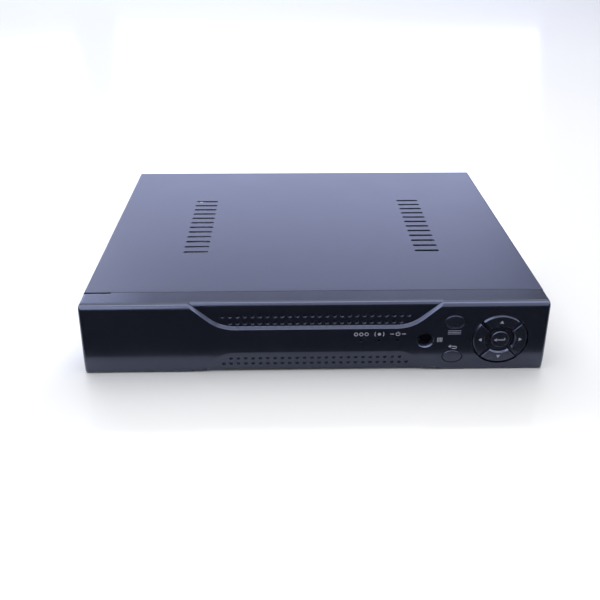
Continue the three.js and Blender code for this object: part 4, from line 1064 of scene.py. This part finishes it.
def fan_blade(start):
    """A twisted, swept blade from the hub outwards, at an angle round the axis."""
    rings = []
    for step in range(6):
        radius = FAN_HUB - 0.8 + (FAN_BORE - 0.9 - FAN_HUB + 0.8) * step / 5
        pitch = radians(50 - 14 * step / 5)
        ring = []
        for chord, thickness in BLADE_SECTION:
            sideways = chord * cos(pitch) - thickness * sin(pitch) + 0.25 * step
            along = chord * sin(pitch) * 0.9 + thickness * cos(pitch)
            angle = start + sideways / radius
            x, z = FAN_X + radius * sin(angle), FAN_Z + radius * cos(angle)
            ring.append((x, FAN_FRONT + 4.2 + along, z))
        rings.append(ring)
    return loft(rings)


# ---- inside
def make_inside():
    switches = [key + "_switch" for key in ("menu", "escape", "up", "right", "down", "left", "enter")]
    for nodes, material, slot, edge in (
        (["base_chassis"], ZINC, "bare_steel", 0.2),
        (["front_board", "main_board", "hard_disk_board"], BOARD_GREEN, "circuit_board", 0.15),
        (["receiver_sensor", "processor"], EPOXY, "chip", 0.2),
        (switches, EPOXY, "chip", 0.15),
        (["heat_sink"], ALUMINIUM, "aluminium", 0.2),
        (["hard_disk"], ALUMINIUM, "aluminium", 0.6),
        (["front_panel_cable"], CABLE_GREY, "cable_grey", 0.2),
        (["drive_data_cable"], CABLE_RED, "cable_red", 0.3),
        (["drive_power_cable"], CABLE_GREY, "cable_grey", 0.4),
    ):
        for node in nodes:
            refined(node, material, slot, edge)
    # Chips and capacitors on the main board, clear of the processor and the drive's cables.
    seeded = random.Random(11)
    chips = []
    cans = []
    for column in range(7):
        for row in range(4):
            x = -6 + column * 20 + seeded.uniform(-3, 3)
            y = -2 + row * 21 + seeded.uniform(-3, 3)
            if abs(x - 52) < 25 and abs(y - 36) < 25 or abs(x - 60) < 16 and y < 6:
                continue
            if seeded.random() < 0.55:
                width, depth = seeded.uniform(5, 11), seeded.uniform(4, 10)
                chips.append(box(about(x, width), about(y, depth), (11.95, 13.5), 0.2))
            else:
                cans.append(rod(3.1, 7, (x, y, 11.95), (0, 0, 1), 28, 0.4))
    show("main_board_chips", chips, EPOXY, "chip", angle=50)
    show("main_board_capacitors", cans, ALUMINIUM, "aluminium", angle=50)


# ---- stage, light and camera
def stage_sheet(name, far, near, height, material):
    """A flat sheet of the stage, from one Y to another, in metres."""
    mesh = bpy.data.meshes.new(name)
    x = 6.0
    corners = [(-x, far, height), (x, far, height), (x, near, height), (-x, near, height)]
    mesh.from_pydata(corners, [], [(0, 1, 2, 3)])
    mesh.materials.append(material)
    sheet = add_object(name, mesh)
    return sheet


def make_stage():
    pale = finish(
        "floor", (0.87, 0.86, 0.83), 0.12,
        mottle=(400, (0.88, 0.87, 0.84)), Specular_IOR_Level=0.8,
    )
    stage_sheet("floor", -6.0, 6.0, 0, pale)
    flag = stage_sheet("flag", -6.0, (FACE - 15) * MM, 0.002, one_sided_black())
    flag.visible_camera = False
    flag.visible_diffuse = False
    flag.visible_shadow = False


def one_sided_black():
    """Black cloth for the card low in front, which only what faces it mirrors. Clear from below."""
    black = bpy.data.materials.new("flag")
    black.use_nodes = True
    tree = black.node_tree
    tree.nodes.remove(tree.nodes["Principled BSDF"])
    new, link = tree.nodes.new, tree.links.new
    cloth = new("ShaderNodeBsdfDiffuse")
    cloth.inputs["Color"].default_value = (0.004, 0.004, 0.007, 1)
    clear = new("ShaderNodeBsdfTransparent")
    sides = new("ShaderNodeMixShader")
    where = new("ShaderNodeNewGeometry")
    link(where.outputs["Backfacing"], sides.inputs["Fac"])
    link(cloth.outputs["BSDF"], sides.inputs[1])
    link(clear.outputs["BSDF"], sides.inputs[2])
    link(sides.outputs["Shader"], tree.nodes["Material Output"].inputs["Surface"])
    return black


def area_light(name, place, size, radiance, color=(1, 1, 1), target=(0, 0, 0), gloss_only=False):
    data = bpy.data.lights.new(name, "AREA")
    data.shape = "RECTANGLE"
    data.size, data.size_y = size
    data.energy = radiance * pi * size[0] * size[1]
    data.color = color
    lamp = add_object(name, data)
    lamp.location = place
    lamp.rotation_mode = "QUATERNION"
    lamp.rotation_quaternion = (Vector(target) - Vector(place)).to_track_quat("-Z", "Y")
    lamp.visible_camera = False
    lamp.visible_diffuse = not gloss_only


def glow(name, place, size, radiance, target=(0, 0, 0)):
    """A panel that shows only in gloss, for the bright lines on rounded edges."""
    area_light(name, place, size, radiance, (0.84, 0.87, 1.0), target, True)


def make_light():
    world = bpy.data.worlds.new("studio")
    bpy.context.scene.world = world
    world.use_nodes = True
    sky = world.node_tree.nodes["Background"]
    sky.inputs["Color"].default_value = (0.8, 0.85, 1.0, 1)
    sky.inputs["Strength"].default_value = 0.35
    bpy.context.scene.view_settings.view_transform = "Standard"
    area_light("overhead_softbox", (0, 0.6, 2.2), (3.5, 3.5), 2.15, target=(0, 0.6, 0))
    area_light("back_left_softbox", (-1.25, 2.1, 0.94), (1.1, 1.26), 4.0, (0.66, 0.73, 1.0))
    area_light("back_right_softbox", (0.15, 2.3, 0.75), (1.7, 1.0), 3.4, (0.62, 0.68, 1.0))
    glow("glow_left", (-1.3, -0.1, 0.8), (1.2, 1.0), 5.5)
    glow("glow_right", (1.3, -0.1, 0.8), (1.2, 1.0), 4.5)
    glow("glow_top", (-0.1, -0.45, 1.4), (2.0, 0.55), 4.8, (-0.1, -0.12, 0))
    glow("glow_front_left", (-0.9, -1.4, 1.0), (1.4, 1.5), 5.6)
    glow("glow_front_right", (0.6, -1.4, 1.0), (1.6, 1.5), 2.2)


def make_camera():
    data = bpy.data.cameras.new("camera")
    camera = add_object("camera", data)
    bpy.context.scene.camera = camera
    data.sensor_width = 36
    data.lens = 43.98
    data.shift_y = -125 / 600
    data.clip_start = 0.01
    data.clip_end = 30
    pitch, yaw, roll = (radians(angle) for angle in (21.51, 1.52, 0.29))
    level = cos(pitch)
    forward = Vector((sin(yaw) * level, cos(yaw) * level, -sin(pitch)))
    right = Vector((cos(yaw), -sin(yaw), 0))
    up = right.cross(forward)
    across = right * cos(roll) + up * sin(roll)
    upward = up * cos(roll) - right * sin(roll)
    turn = Matrix((across, upward, -forward)).transposed().to_4x4()
    place = Matrix.Translation(Vector((-21.3, FACE - 399.1, SKIRT + 294.9)) * MM)
    camera.matrix_world = place @ turn


make_bezel()
make_keys()
make_marks()
make_indicators()
make_cover()
for number, (column, row) in enumerate(((0, 0), (0, 1), (1, 0), (1, 1)), 1):
    make_video_socket("video_in_socket_%d" % number, COLUMNS[column], ROWS[row])
make_video_socket("video_out_socket", COLUMNS[2], ROWS[1])
make_audio_sockets()
make_monitor_socket()
make_hdmi_socket()
make_usb_sockets()
make_network_socket()
make_power_socket()
make_rear_panel()
make_screws()
make_feet()
make_fan()
make_inside()
make_stage()
make_light()
make_camera()
